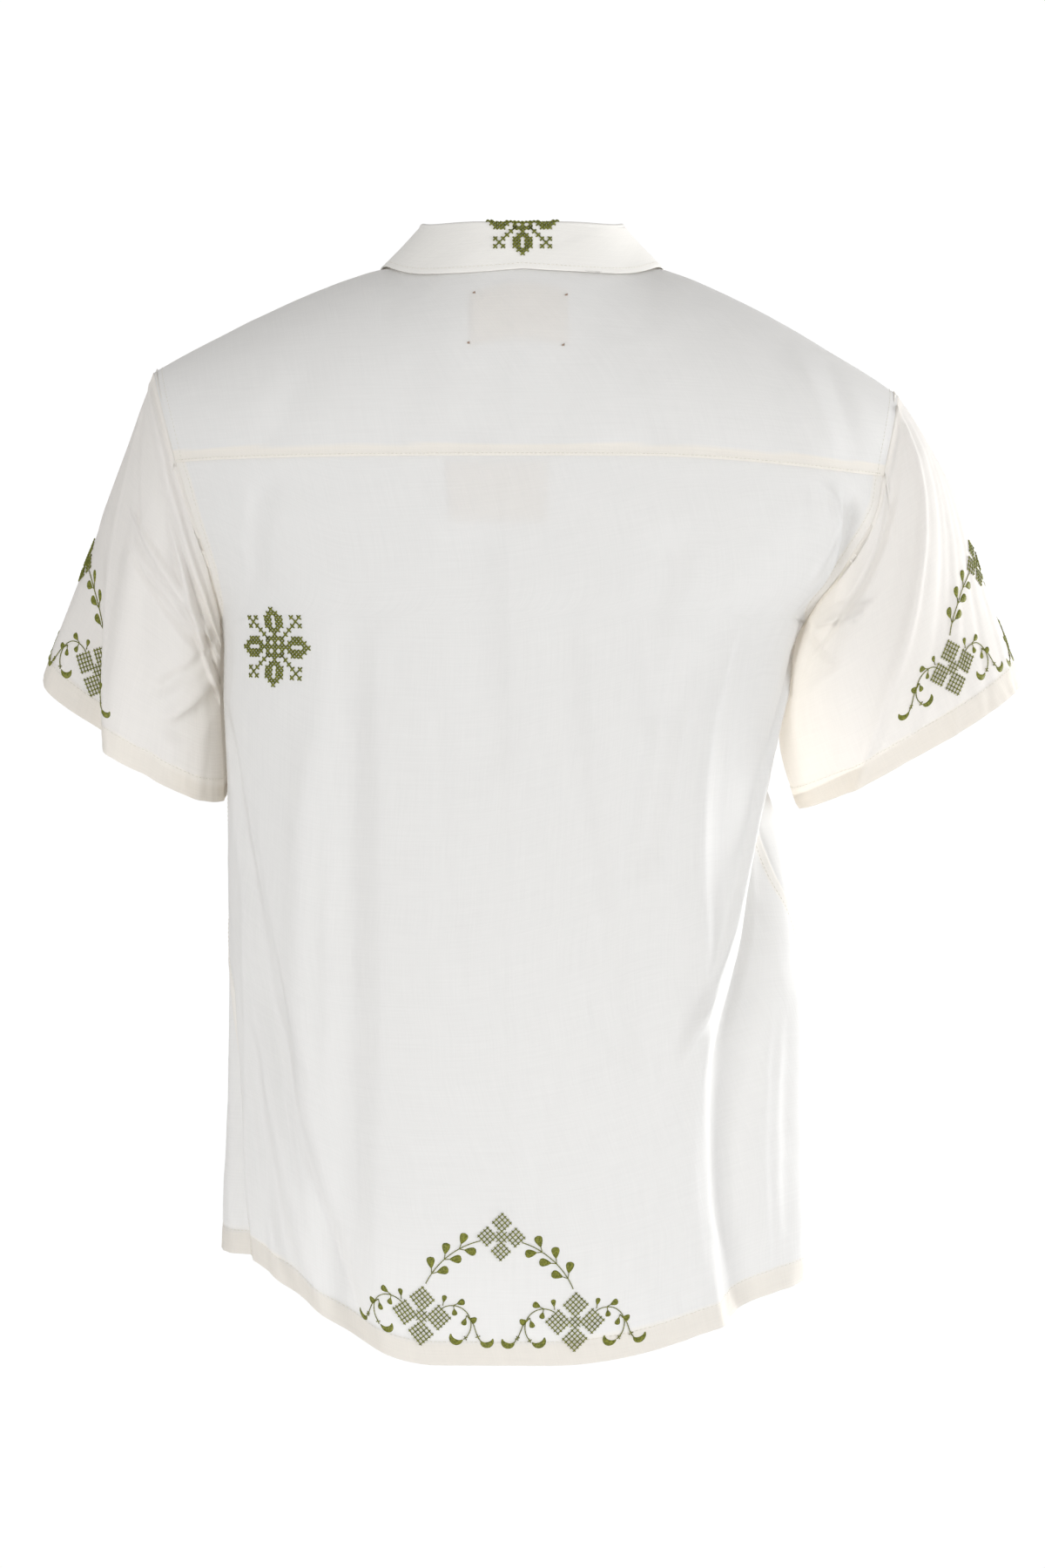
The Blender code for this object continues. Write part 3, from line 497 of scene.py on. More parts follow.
def body_point(turn, height, fine=True):
    """Points of the body's tube. Turn 0 is centre back, 90 the wearer's left side."""
    turn, height = together(turn, height)
    across = sine(turn)
    half = np.where(across >= 0, section("left", height), section("right", height))
    widest = section("widest", height)
    depth = np.where(cosine(turn) > 0, section("back", height), section("front", height)) - widest
    narrowing = np.maximum(0, 1 - np.abs(across) ** SQUARENESS) ** (1 / SQUARENESS)
    outward = unit(xyz(
        np.sign(across) * np.abs(across) ** (SQUARENESS - 1) / half,
        narrowing ** (SQUARENESS - 1) / depth,
        0,
    ))
    turn = (turn + 180) % 360 - 180
    rise = fold_rise(BODY_FOLDS, turn, height, FOLD_RADIUS)
    if fine:
        worn = crumple(np.radians(turn) * FOLD_RADIUS, height, 11)
        rough = mix(0.00030, 0.00075, smooth((np.abs(turn) - 15) / 45))
        fade = smooth((YOKE_SEAM - YOKE_DROOP - height) / CHEST_FADE)
        rise = rise + (fold_rise(CREASES, turn, height, FOLD_RADIUS) + worn * rough) * fade
    return xyz(half * across, widest + depth * narrowing, height) + outward * rise[..., None]


def chest_height(turn):
    """Height of the yoke seam, which droops to the wearer's right at the back."""
    turn = np.asarray(turn, float)
    droop = YOKE_DROOP * smooth((np.abs(turn) - 15) / (ARMHOLE_TURN - 15))
    return np.where((cosine(turn) < 0) | (sine(turn) > 0), YOKE_SEAM, YOKE_SEAM - droop)


def by_side(left, name):
    return np.where(left, getattr(LEFT, name), getattr(RIGHT, name))


def hem_height(turn):
    """Height of the shirt-tail hem, level at the sides and lowest at centre back and centre front."""
    left = sine(turn) >= 0
    turn = np.abs((turn + 180) % 360 - 180)
    behind = turn <= 90
    from_centre = np.where(behind, turn, 180 - turn)
    share = (by_side(left, "hem_from") - from_centre) / (by_side(left, "hem_from") - by_side(left, "hem_to"))
    low = np.where(behind, HEM_CENTRE_BACK, HEM_CENTRE_FRONT)
    return mix(by_side(left, "hem"), low, smooth(share))


def seam_turn(side, height):
    return table_value(SEAMS, "height", side.name, height)


def armhole_turn(share):
    """Turn of the armhole's edge at shares of its height, from the armpit up to the yoke's seam."""
    return 90 - (90 - ARMHOLE_TURN) * np.sqrt(np.maximum(0.0, 1 - (1 - share) ** 2))


def ridge_height(x):
    """Height of the shoulder line, which runs on up the neck inside the neck points."""
    left = x >= 0
    beyond = (np.abs(x) - NECK_POINT) / (by_side(left, "tip") - NECK_POINT)
    slope = -by_side(left, "drop") * np.maximum(beyond, 0) ** SHOULDER_BEND
    return np.where(beyond > 0, slope, NECK_SLOPE_RISE * (1 - (x / NECK_POINT) ** 2) ** 2)


def shoulder_half_width(left, height, lift):
    edge = np.abs(body_point(np.where(left, ARMHOLE_TURN, -ARMHOLE_TURN), height, False)[..., 0])
    return mix(edge, by_side(left, "tip"), sine(lift))


def arch_point(turn, lift):
    """Points of the shoulders above a turn of the chest: lift 0 is behind, 180 in front."""
    turn, lift = together(turn, lift)
    height = chest_height(turn)
    foot = body_point(turn, height, False)
    left = sine(turn) >= 0
    x = foot[..., 0] * shoulder_half_width(left, height, lift) / shoulder_half_width(left, height, 0 * lift)
    y = foot[..., 1] * np.abs(cosine(lift))
    return xyz(x, y, mix(height, ridge_height(x), sine(lift)))


def shoulder_point(share, lift):
    share, lift = together(share, lift)
    turn = arcsine(share * sine(ARMHOLE_TURN))
    return arch_point(np.where(lift > 90, np.copysign(180, turn) - turn, turn), lift)


def place_over(x, y):
    """Shares and lifts of the shoulder's points over places in plan."""
    left = x >= 0
    share = x / by_side(left, "tip")
    lift = 90.0 + 0 * x
    for _ in range(PLACING_PASSES):
        turn = arcsine(share * sine(ARMHOLE_TURN))
        foot = body_point(np.where(y >= 0, turn, np.copysign(180, x) - turn), YOKE_SEAM, False)
        lift = np.degrees(np.arccos(np.clip(y / np.abs(foot[..., 1]), -1, 1)))
        share = x / shoulder_half_width(left, YOKE_SEAM, lift)
    return share, lift


def neckline_place(sign, angle):
    """Share and lift of the neckline: 90 is centre back, 0 beside the neck, negative in front."""
    reach = np.where(np.asarray(angle) > 0, NECK_BACK_DEPTH, NECK_HALF_WIDTH)
    return place_over(sign * NECK_HALF_WIDTH * cosine(angle), reach * sine(angle))


def neck_corner(sign):
    return neckline_place(sign, np.array(float(NECK_CORNER)))


def front_inner_turn(side, lift):
    """Turn of a front's inner edge: past centre front at the chest, then along the roll line."""
    share, neck_lift = neck_corner(side.sign)
    neck_turn = 180 - arcsine(np.abs(share) * sine(ARMHOLE_TURN))
    half = section(side.name, YOKE_SEAM)
    past_centre = arcsine(OVERLAP / half) * smooth((lift - OPEN_LIFT) / (180 - OPEN_LIFT))
    return past_centre + mix(180, neck_turn, (180 - lift) / (180 - neck_lift))


def normals_of(points, closed=False):
    """Directions out of a grid whose columns run right and rows run up, seen from outside."""
    if closed:
        across = np.roll(points, -1, 1) - np.roll(points, 1, 1)
    else:
        across = np.gradient(points, axis=1)
    return unit(np.cross(across, np.gradient(points, axis=0)))


class Cloth:
    """A panel's points with their distances along the cloth, and its cream share: how much of it lies in two
    layers, and the painted shade on the sleeves' undersides.
    """

    def __init__(self, points, closed=False):
        self.points = points
        self.closed = closed
        self.normals = normals_of(points, closed)
        self.cream = np.zeros(points.shape[:2])
        across = np.linalg.norm(np.diff(points, axis=1), axis=2).cumsum(1)
        up = np.linalg.norm(np.diff(points, axis=0), axis=2).cumsum(0)
        self.right_of = np.pad(across, ((0, 0), (1, 0)))
        self.above = np.pad(up, ((1, 0), (0, 0)))

    def distance(self, edge):
        """How far each point is from an edge along the cloth."""
        return {
            "left": self.right_of,
            "right": self.right_of[:, -1:] - self.right_of,
            "low": self.above,
            "top": self.above[-1:] - self.above,
        }[edge]

    def push(self, rise):
        self.points = self.points + self.normals * rise[..., None]
        self.normals = normals_of(self.points, self.closed)

    def lap_over(self, edge, share=0.8):
        """A seam's upper edge, turned under: it stands a little proud and shows its allowance."""
        off = self.distance(edge)
        self.push(LAP_PROUD * bell(off, 0.0035) - LAP_GROOVE * bell(off, 0.0007))
        self.cream += share * smooth((SEAM_ALLOWANCE - off) / EDGE_BLUR)

    def lap_under(self, edge):
        """A seam's lower edge, which runs on under the other panel."""
        off = self.distance(edge)
        self.push(-LAP_SINK * smooth((LAP_UNDER * 1.5 - off) / LAP_UNDER))

    def pucker(self, edge, width, seed, rise=0.0005):
        """Small puckers across a sewn band."""
        off = self.distance(edge)
        run = self.above if edge in ("left", "right") else self.right_of
        wave = noise(run / 0.0065, off / 0.03, seed) + 0.6 * noise(run / 0.0032, off / 0.02, seed + 3) - 0.8
        self.push(rise * wave * smooth((width * 1.8 - off) / width))

    def hem(self, edge, seed):
        off = self.distance(edge)
        self.cream += 0.7 * smooth((HEM_BAND - off) / EDGE_BLUR)
        self.push(-HEM_GROOVE * bell(off - HEM_BAND, 0.0014))
        self.pucker(edge, HEM_BAND, seed, 0.0009)

    def pick(self, row, column, lift=0.0):
        """Points at places between the grid's rows and columns, and the directions out of the cloth."""
        rows, columns = self.points.shape[:2]
        row = np.clip(row, 0, rows - 1.000001)
        if self.closed:
            column = column % columns
        else:
            column = np.clip(column, 0, columns - 1.000001)
        r, c = np.floor(row).astype(int), np.floor(column).astype(int)
        s, t = (row - r)[..., None], (column - c)[..., None]
        beside = (c + 1) % columns
        found = []
        for field in (self.points, self.normals):
            low = mix(field[r, c], field[r, beside], t)
            top = mix(field[r + 1, c], field[r + 1, beside], t)
            found.append(mix(low, top, s))
        normal = unit(found[1])
        return found[0] + normal * np.asarray(lift)[..., None], normal


def body_cloth(turns_at, columns, low_rows, armhole_rows, extra=0.0):
    """Turns and heights of a body panel, from the hem to the chest."""
    turns, heights = [], []
    for share in steps(low_rows):
        turn = turns_at(share, 0.0, columns)
        turns.append(turn)
        heights.append(mix(hem_height(turn), ARMPIT, share))
    for share in steps(armhole_rows)[1:]:
        turn = turns_at(1.0, share, columns)
        turns.append(turn)
        heights.append(mix(ARMPIT, chest_height(turn), share))
    if extra:
        for share in (0.5, 1.0):
            turns.append(turns[-1])
            heights.append(chest_height(turns[-1]) + extra * share)
    return np.array(turns), np.array(heights)


def edge_turn(side, low_share, armhole_share):
    if armhole_share > 0:
        return armhole_turn(armhole_share)
    return seam_turn(side, mix(side.hem, ARMPIT, low_share))


def edged(count):
    """Shares from 0 to 1, closer together near both ends."""
    near = np.array([0, 0.002, 0.005, 0.010])
    return np.concatenate([near, np.linspace(0.017, 0.983, count), 1 - near[::-1]])


def back_cloth():
    def turns_at(low_share, armhole_share, columns):
        left = edge_turn(LEFT, low_share, armhole_share)
        right = edge_turn(RIGHT, low_share, armhole_share)
        return mix(left, -right, columns)

    turns, heights = body_cloth(turns_at, edged(176), 150, 40, LAP_UNDER)
    cloth = Cloth(body_point(turns, heights))
    cloth.turns, cloth.heights = turns, heights
    cloth.hem("low", 21)
    cloth.lap_under("top")
    cloth.lap_over("left", 0.5)
    cloth.lap_over("right", 0.5)
    return cloth


def front_cloth(side):
    neck_lift = float(neck_corner(side.sign)[1])
    past_centre = float(front_inner_turn(side, np.array(180.0)))
    columns = edged(96)

    def turns_at(low_share, armhole_share, shares):
        outer = edge_turn(side, low_share, armhole_share)
        if armhole_share > 0:
            outer = 180 - outer
        return side.sign * mix(past_centre, outer, shares)

    turns, heights = body_cloth(turns_at, columns, 130, 34)
    rows = [body_point(turns, heights)]
    for share in steps(44)[1:]:
        lift = mix(180, neck_lift, share)
        inner = front_inner_turn(side, lift)
        turn = side.sign * mix(inner, 180 - ARMHOLE_TURN, columns)
        rows.append(arch_point(turn, lift)[None])
    points = np.concatenate(rows)
    if side is RIGHT:
        points = points[:, ::-1]
    cloth = Cloth(points)
    inner, outer = ("left", "right") if side is LEFT else ("right", "left")
    tall = 1 - smooth((points[..., 2] + 0.17) / 0.03)
    worn = crumple(points[..., 0], points[..., 2], 31) * smooth((points[..., 2] - YOKE_SEAM) / 0.02)
    near = np.minimum(cloth.distance("top"), cloth.distance(outer))
    cloth.push(WORN * worn * smooth(near / 0.02))
    if side is RIGHT:
        tuck = smooth((TUCK_NONE + points[..., 0]) / (TUCK_NONE - TUCK_FULL))
        cloth.push(-TUCK_DEPTH * tuck)
    facing = cloth.distance(inner)
    cloth.cream += 0.55 * smooth((FACING_WIDTH - facing) / 0.001) * tall
    cloth.push(-FACING_GROOVE * bell(facing, 0.0008))
    cloth.hem("low", 27)
    cloth.lap_under(outer)
    return cloth


def yoke_cloth():
    """The yoke, which fans from its seam across the back to the neckline and over the shoulders."""
    half = 84
    corner = half * 8 // 15
    shares, tops, lifts = [], [], []
    for side in (LEFT, RIGHT):
        corner_share, corner_lift = neck_corner(side.sign)
        over_neck = steps(half - corner)
        neck_share, neck_lift = neckline_place(side.sign, mix(NECK_CORNER, 90, over_neck))
        top = np.concatenate([mix(1, abs(corner_share), steps(corner)[:-1]), np.abs(neck_share)])
        lift = np.concatenate([np.full(corner, corner_lift), neck_lift])
        bottom = 1 - steps(half)
        if side is RIGHT:
            bottom, top, lift = bottom[-2::-1], top[-2::-1], lift[-2::-1]
        shares.append(side.sign * bottom)
        tops.append(side.sign * top)
        lifts.append(lift)
    bottom, top, lift = (np.concatenate(part) for part in (shares, tops, lifts))
    rows = np.concatenate([[0, 0.006, 0.014, 0.026], np.linspace(0.04, 1, 84)])[:, None]
    points = shoulder_point(mix(bottom, top, rows), lift * rows)
    cloth = Cloth(points)
    near = np.minimum(np.minimum(cloth.distance("left"), cloth.distance("right")), cloth.distance("low"))
    x, run = points[..., 0], cloth.above
    worn = crumple(x, run * 1.4, 41)
    soft = 0.0
    for fold in YOKE_FOLDS:
        across = bell(x - fold.centre + fold.lean * run, fold.width)
        soft = soft + fold.rise * across * smooth(run / 0.01) * (1 - smooth((run - 0.05) / 0.06))
    crease = 0.0006 * bell(x - 0.007, 0.0018)
    cloth.push((WORN * worn + soft + crease) * smooth(near / 0.02))
    cloth.push(YOKE_LIFT + 0 * x)
    cloth.lap_over("low")
    cloth.pucker("low", 0.008, 47, 0.0004)
    in_front = (points[..., 1] < 0) * 1.0
    cloth.cream += 0.6 * in_front * smooth((SEAM_ALLOWANCE - cloth.distance("top")) / 0.001)
    inside = smooth((NECK_LABEL.left - x) / 0.002 + 1) * smooth((x - NECK_LABEL.right) / 0.002 + 1)
    angle = arcsine(np.maximum(0, (points[..., 2] - YOKE_SEAM) / (ridge_height(x) - YOKE_SEAM)))
    tall = smooth((NECK_LABEL.top - angle) + 1) * smooth((angle - NECK_LABEL.low) + 1)
    cloth.cream += 0.06 * inside * tall * (points[..., 1] > 0)
    return cloth


def sleeve_ring(rings, side, along, turn):
    """Points of the sleeve's tube without its folds, and the directions out of it."""
    ring = {name: table_value(rings, "along", name, along) for name in Ring._fields}
    tilt, dip = ring["tilt"], ring["back_dip"]
    outward = xyz(side.sign * cosine(tilt), 0, sine(tilt))
    backward = xyz(0, cosine(dip), -sine(dip))
    power = 2 / SLEEVE_SQUARENESS
    across = ring["half_width"] * np.sign(cosine(turn)) * np.abs(cosine(turn)) ** power
    behind = ring["half_depth"] * np.sign(sine(turn)) * np.abs(sine(turn)) ** power
    offset = outward * across[..., None] + backward * behind[..., None]
    return xyz(side.sign * ring["x"], ring["y"], ring["z"]) + offset, unit(offset)


def side_reach(side, y, height):
    """How far out the body's side reaches at places, or far inside where the armhole is open."""
    widest = section("widest", height)
    back = section("back", height)
    front = section("front", height)
    half = section(side.name, height)
    off = np.clip(np.abs((y - widest) / np.where(y > widest, back - widest, front - widest)), 0, 1)
    across = (1 - off ** SQUARENESS) ** (1 / SQUARENESS)
    turn = arcsine(across)
    turn = np.where(y > widest, turn, 180 - turn)
    reach = side.sign * body_point(side.sign * turn, height)[..., 0]
    share = (height - ARMPIT) / (YOKE_SEAM - ARMPIT)
    limit = np.where(share > 0, armhole_turn(np.clip(share, 0, 1)), 90)
    open_there = (turn > limit + 0.5) & (turn < 179.5 - limit) & (share > 0)
    return np.where(open_there | (off >= 1), -1.0, reach)


def armhole_loop(back, yoke, front, side, count):
    """The armhole's edge from the armpit up the back, over the shoulder and down the front."""
    back_column, yoke_column, front_column = (0, 0, -1) if side is LEFT else (-1, -1, 0)
    armhole = (back.heights[:, back_column] >= ARMPIT - 1e-9) & (back.heights[:, back_column] <= YOKE_SEAM)
    up = back.points[armhole, back_column]
    over = yoke.points[1:, yoke_column]
    down = front.points[::-1, front_column][1:]
    down = down[down[:, 2] > ARMPIT + 0.0005]
    loop = np.concatenate([up, over, down])
    lengths = run_of(loop)
    whole = lengths[-1] + np.linalg.norm(loop[0] - loop[-1])
    tip = lengths[np.argmax((loop[:, 1] <= 0) & (loop[:, 2] > YOKE_SEAM))]
    at = np.arange(count) / count * whole
    loop = read_line(at, np.append(lengths, whole), np.concatenate([loop, loop[:1]]))
    turns = np.where(at <= tip, 180 * (1 - at / tip), -180 * (at - tip) / (whole - tip))
    return loop, turns


def sleeve_cloth(side, rings, folds, back, yoke, front, seed):
    loop, turns = armhole_loop(back, yoke, front, side, 210)
    along = np.concatenate([np.linspace(1, 0.04, 92), [0.025, 0.012, 0.004]])[:, None]
    turn = np.broadcast_to(turns, (len(along), len(turns)))
    base, outward = sleeve_ring(rings, side, along + 0 * turn, turn)
    start = sleeve_ring(rings, side, 0 * turn, turn)[0]
    base = base + (loop - start) * (1 - smooth(along / ARMHOLE_BLEND))[..., None]
    worn = crumple(np.radians(turn) * SLEEVE_RADIUS, along * 0.2, seed) * 0.00045
    rise = fold_rise(folds, turn, along, SLEEVE_RADIUS) + worn * smooth(along / 0.08)
    points = base + outward * rise[..., None]
    reach = side_reach(side, points[..., 1], points[..., 2]) + BODY_CLEARANCE
    pressed = (points[..., 2] < YOKE_SEAM) & (side.sign * points[..., 0] < reach)
    points[..., 0] = np.where(pressed, side.sign * reach, points[..., 0])
    inward = unit(loop - points[-1])
    tucked = loop + inward * LAP_UNDER - outward[-1] * LAP_SINK
    points = np.concatenate([points, (loop - outward[-1] * LAP_SINK)[None], tucked[None]])
    if side is LEFT:
        points, turns = points[:, ::-1], turns[::-1]
    cloth = Cloth(points, closed=True)
    cloth.turns = turns
    cloth.hem("low", seed + 3)
    off = cloth.distance("top")
    cloth.pucker("top", 0.012, seed + 5, 0.0004)
    cloth.cream += 0.35 * smooth((SEAM_ALLOWANCE + LAP_UNDER - off) / 0.002)
    # Painted shade: the sleeve's underside, next to the body, gets the warm cream tone of the shade that
    # falls there.
    cloth.cream += 0.75 * smooth((np.abs(turns) - 100) / 45)
    return cloth


def collar_seam_point(sign, along):
    """Points of the neck seam, from centre back at 0 to the collar's front end at 1."""
    side = LEFT if sign > 0 else RIGHT
    share, lift = neckline_place(sign, mix(90, NECK_CORNER, np.minimum(along / COLLAR_YOKE_SHARE, 1)))
    behind = shoulder_point(sign * np.abs(share), lift)
    neck_lift = neck_corner(sign)[1]
    lift = mix(neck_lift, COLLAR_END_LIFT, np.maximum(along - COLLAR_YOKE_SHARE, 0) / (1 - COLLAR_YOKE_SHARE))
    ahead = arch_point(sign * front_inner_turn(side, lift), lift)
    return np.where((along <= COLLAR_YOKE_SHARE)[..., None], behind, ahead)


def off_shoulder(point, clearance):
    """Lifts points that are nearer to the shoulder than the clearance, straight off the cloth."""
    share, lift = place_over(point[..., 0], point[..., 1])
    under = shoulder_point(share, lift)
    across = shoulder_point(share - NORMAL_STEP, lift) - shoulder_point(share + NORMAL_STEP, lift)
    normal = unit(np.cross(across, shoulder_point(share, lift + 1) - shoulder_point(share, lift - 1)))
    height = np.sum((point - under) * normal, -1)
    buried = under + normal * clearance[..., None]
    lifted = point + normal * np.maximum(clearance - height, 0)[..., None]
    return np.where(((height < clearance) & (point[..., 2] < under[..., 2]))[..., None], buried, lifted)


def collar_cloth():
    """The collar from its outer edge up over the fold and down to the neck seam."""
    halves = []
    for sign in (1, -1):
        along = steps(72)
        size = {name: table_value(COLLAR_STATIONS, "along", name, along) for name in Station._fields}
        seam = collar_seam_point(sign, along)
        ahead = collar_seam_point(sign, np.minimum(1, along + SEAM_STEP))
        ahead = ahead - collar_seam_point(sign, np.maximum(0, along - SEAM_STEP))
        outward = unit(xyz(-ahead[:, 1] * sign, ahead[:, 0] * sign, 0))
        outward[0] = (0, 1, 0)
        edge = seam + outward * size["reach"][:, None]
        edge[:, 2] = HEM_CENTRE_BACK
        edge = off_shoulder(edge, size["clearance"])
        foot = seam + UP * COLLAR_PLY
        inner = foot - outward * size["lean"][:, None] + UP * (size["stand"] - COLLAR_ROLL)[:, None]
        outer = inner + outward * 2 * COLLAR_ROLL
        rows = [off_shoulder(mix(edge, outer, share), size["clearance"]) for share in edged(14)]
        for angle in range(20, 180, 20):
            rows.append(inner + outward * COLLAR_ROLL * (1 + cosine(angle)) + UP * COLLAR_ROLL * sine(angle))
        rows += [mix(inner, foot, share) for share in steps(10)]
        halves.append(np.array(rows))
    points = np.concatenate([halves[0][:, :0:-1], halves[1]], axis=1)
    cloth = Cloth(points)
    run = cloth.right_of
    wave = noise(run / 0.045, cloth.above / 0.03, 61) - 0.5
    fine = crumple(run, cloth.above * 2.2, 63)
    loose = smooth((0.05 - cloth.above) / 0.03)
    cloth.push((0.0012 * wave + 0.00025 * fine) * loose)
    cloth.cream += 0.62
    cloth.push(COLLAR_EDGE * bell(cloth.above - 0.0012, 0.001))
    return cloth


def lapel_cloth(side):
    share = steps(40)[:, None]
    lift = mix(LAPEL_LOW_LIFT, LAPEL_TOP_LIFT, share)
    inner = front_inner_turn(side, lift) - 0.3
    outer = inner - mix(LAPEL_POINT, LAPEL_WIDTH, share)
    points = arch_point(side.sign * mix(inner, outer, steps(24)), lift)
    if side is RIGHT:
        points = points[:, ::-1]
    cloth = Cloth(points)
    wave = noise(cloth.right_of / 0.02, cloth.above / 0.03, 71) - 0.5
    cloth.push(LAPEL_LIFT + 0.0008 * wave)
    cloth.cream += 0.35
    return cloth


def label_cloth(label, neck):
    x = mix(label.left, label.right, steps(12))
    if neck:
        lift = mix(label.low, label.top, steps(8))[:, None]
        points = shoulder_point(x / shoulder_half_width(True, YOKE_SEAM, lift), lift)
    else:
        height = mix(label.low, label.top, steps(8))[:, None]
        half = section("left", YOKE_SEAM)
        points = body_point(arcsine(x / half), height + 0 * x)
    cloth = Cloth(points)
    cloth.push(-LABEL_DEPTH + 0 * points[..., 0])
    return cloth


class Solid:
    """Points and faces gathered for one mesh."""

    def __init__(self):
        self.points, self.faces, self.count = [], [], 0

    def add_grid(self, points, closed=False):
        rows, columns = points.shape[:2]
        index = self.count + np.arange(rows * columns).reshape(rows, columns)
        if closed:
            index = np.concatenate([index, index[:, :1]], axis=1)
        faces = np.stack([index[:-1, :-1], index[:-1, 1:], index[1:, 1:], index[1:, :-1]], -1)
        self.points.append(points.reshape(-1, 3))
        self.faces += faces.reshape(-1, 4).tolist()
        self.count += rows * columns

    def add_tube(self, points, normals, radius, sides=5):
        """A thread along points, with its ends closed."""
        ahead = unit(np.gradient(points, axis=0))
        beside = unit(np.cross(ahead, normals))
        above = np.cross(beside, ahead)
        angle = np.arange(sides) * 360 / sides
        radius = np.broadcast_to(radius, len(points))[:, None, None]
        ring = beside[:, None] * cosine(angle)[:, None] + above[:, None] * sine(angle)[:, None]
        first = self.count
        self.add_grid(points[:, None] + ring * radius, closed=True)
        last = self.count - sides
        self.faces += [list(range(first, first + sides))[::-1], list(range(last, self.count))]

    def make(self, name, look):
        mesh = bpy.data.meshes.new(name)
        mesh.from_pydata(np.concatenate(self.points).tolist(), [], self.faces)
        mesh.materials.append(look)
        mesh.shade_smooth()
        made = bpy.data.objects.new(name, mesh)
        bpy.context.scene.collection.objects.link(made)
        return made


def keep(piece, node=None):
    """Puts a piece on the part's one body and the solid that it stands for."""
    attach(piece, "root")
    if node:
        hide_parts(node)
    return piece


def cloth_piece(name, cloth, look, node, ply=None, hemmed=False):
    """A panel as a mesh, with its place on the cloth and its cream share kept for the material: two-layer
    cloth and painted shade.
    """
    solid = Solid()
    solid.add_grid(cloth.points, cloth.closed)
    cream, place = [cloth.cream], [np.stack([cloth.right_of, cloth.above], -1)]
    if hemmed:
        rows = 1 + int((cloth.distance("low") <= HEM_BAND).all(1).sum())
        turned_up = cloth.points[:rows] - cloth.normals[:rows] * HEM_PLY
        turned_up[0] = cloth.points[0]
        solid.add_grid(turned_up[::-1], cloth.closed)
        cream.append(cloth.cream[rows - 1::-1])
        place.append(place[0][rows - 1::-1])
    piece = solid.make(name, look)
    mesh = piece.data
    shares = np.clip(np.concatenate([part.ravel() for part in cream]), 0, 1)
    doubled_and_shaded = mesh.attributes.new("doubled_and_shaded", "FLOAT", "POINT")
    doubled_and_shaded.data.foreach_set("value", shares.astype(np.float32))
    place = np.concatenate([part.reshape(-1, 2) for part in place])
    layer = mesh.uv_layers.new(name="cloth")
    corners = np.zeros(len(mesh.loops), int)
    mesh.loops.foreach_get("vertex_index", corners)
    layer.data.foreach_set("uv", place[corners].ravel().astype(np.float32))
    if ply:
        thickness = piece.modifiers.new("thickness", "SOLIDIFY")
        thickness.thickness = ply
        thickness.offset = -1
    return keep(piece, node)


def nearest(cloth, x, z, side):
    """Row and column of the point nearest to a place seen from behind, side 1, or from the front, -1."""
    points = cloth.points
    off = (points[..., 0] - x) ** 2 + (points[..., 2] - z) ** 2 + (side * points[..., 1] < 0)
    return np.unravel_index(np.argmin(off), off.shape)


def stitch_line(solid, points, normals):
    """Stitches laid end to end along a line on the cloth."""
    run = run_of(points)
    for i in range(int(run[-1] / (STITCH + STITCH_GAP))):
        at = i * (STITCH + STITCH_GAP) + STITCH_GAP / 2 + STITCH * np.array([0, 0.5, 1])
        normal = unit(read_line(at, run, normals))
        lift = STITCH_RADIUS * np.array([-0.6, 0.5, -0.6])[:, None]
        ends = STITCH_RADIUS * np.array([0.7, 1, 0.7])
        solid.add_tube(read_line(at, run, points) + normal * lift, normal, ends, 4)


def line_from(cloth, edge, distance):
    """A line on the cloth at a distance from one of its edges."""
    level = edge in ("low", "top")
    lines = cloth.distance(edge).T if level else cloth.distance(edge)
    way = 1 if edge in ("low", "left") else -1
    place = np.array([np.interp(way * distance, way * line, np.arange(len(line))) for line in lines])
    along = np.arange(len(lines)).astype(float)
    if level and cloth.closed:
        along, place = np.append(along, len(lines)), np.append(place, place[0])
    return cloth.pick(place, along) if level else cloth.pick(along, place)


def mirrored(angle, way):
    """An angle as it is for way 1, or mirrored from left to right for way -1."""
    return angle if way > 0 else 180 - angle


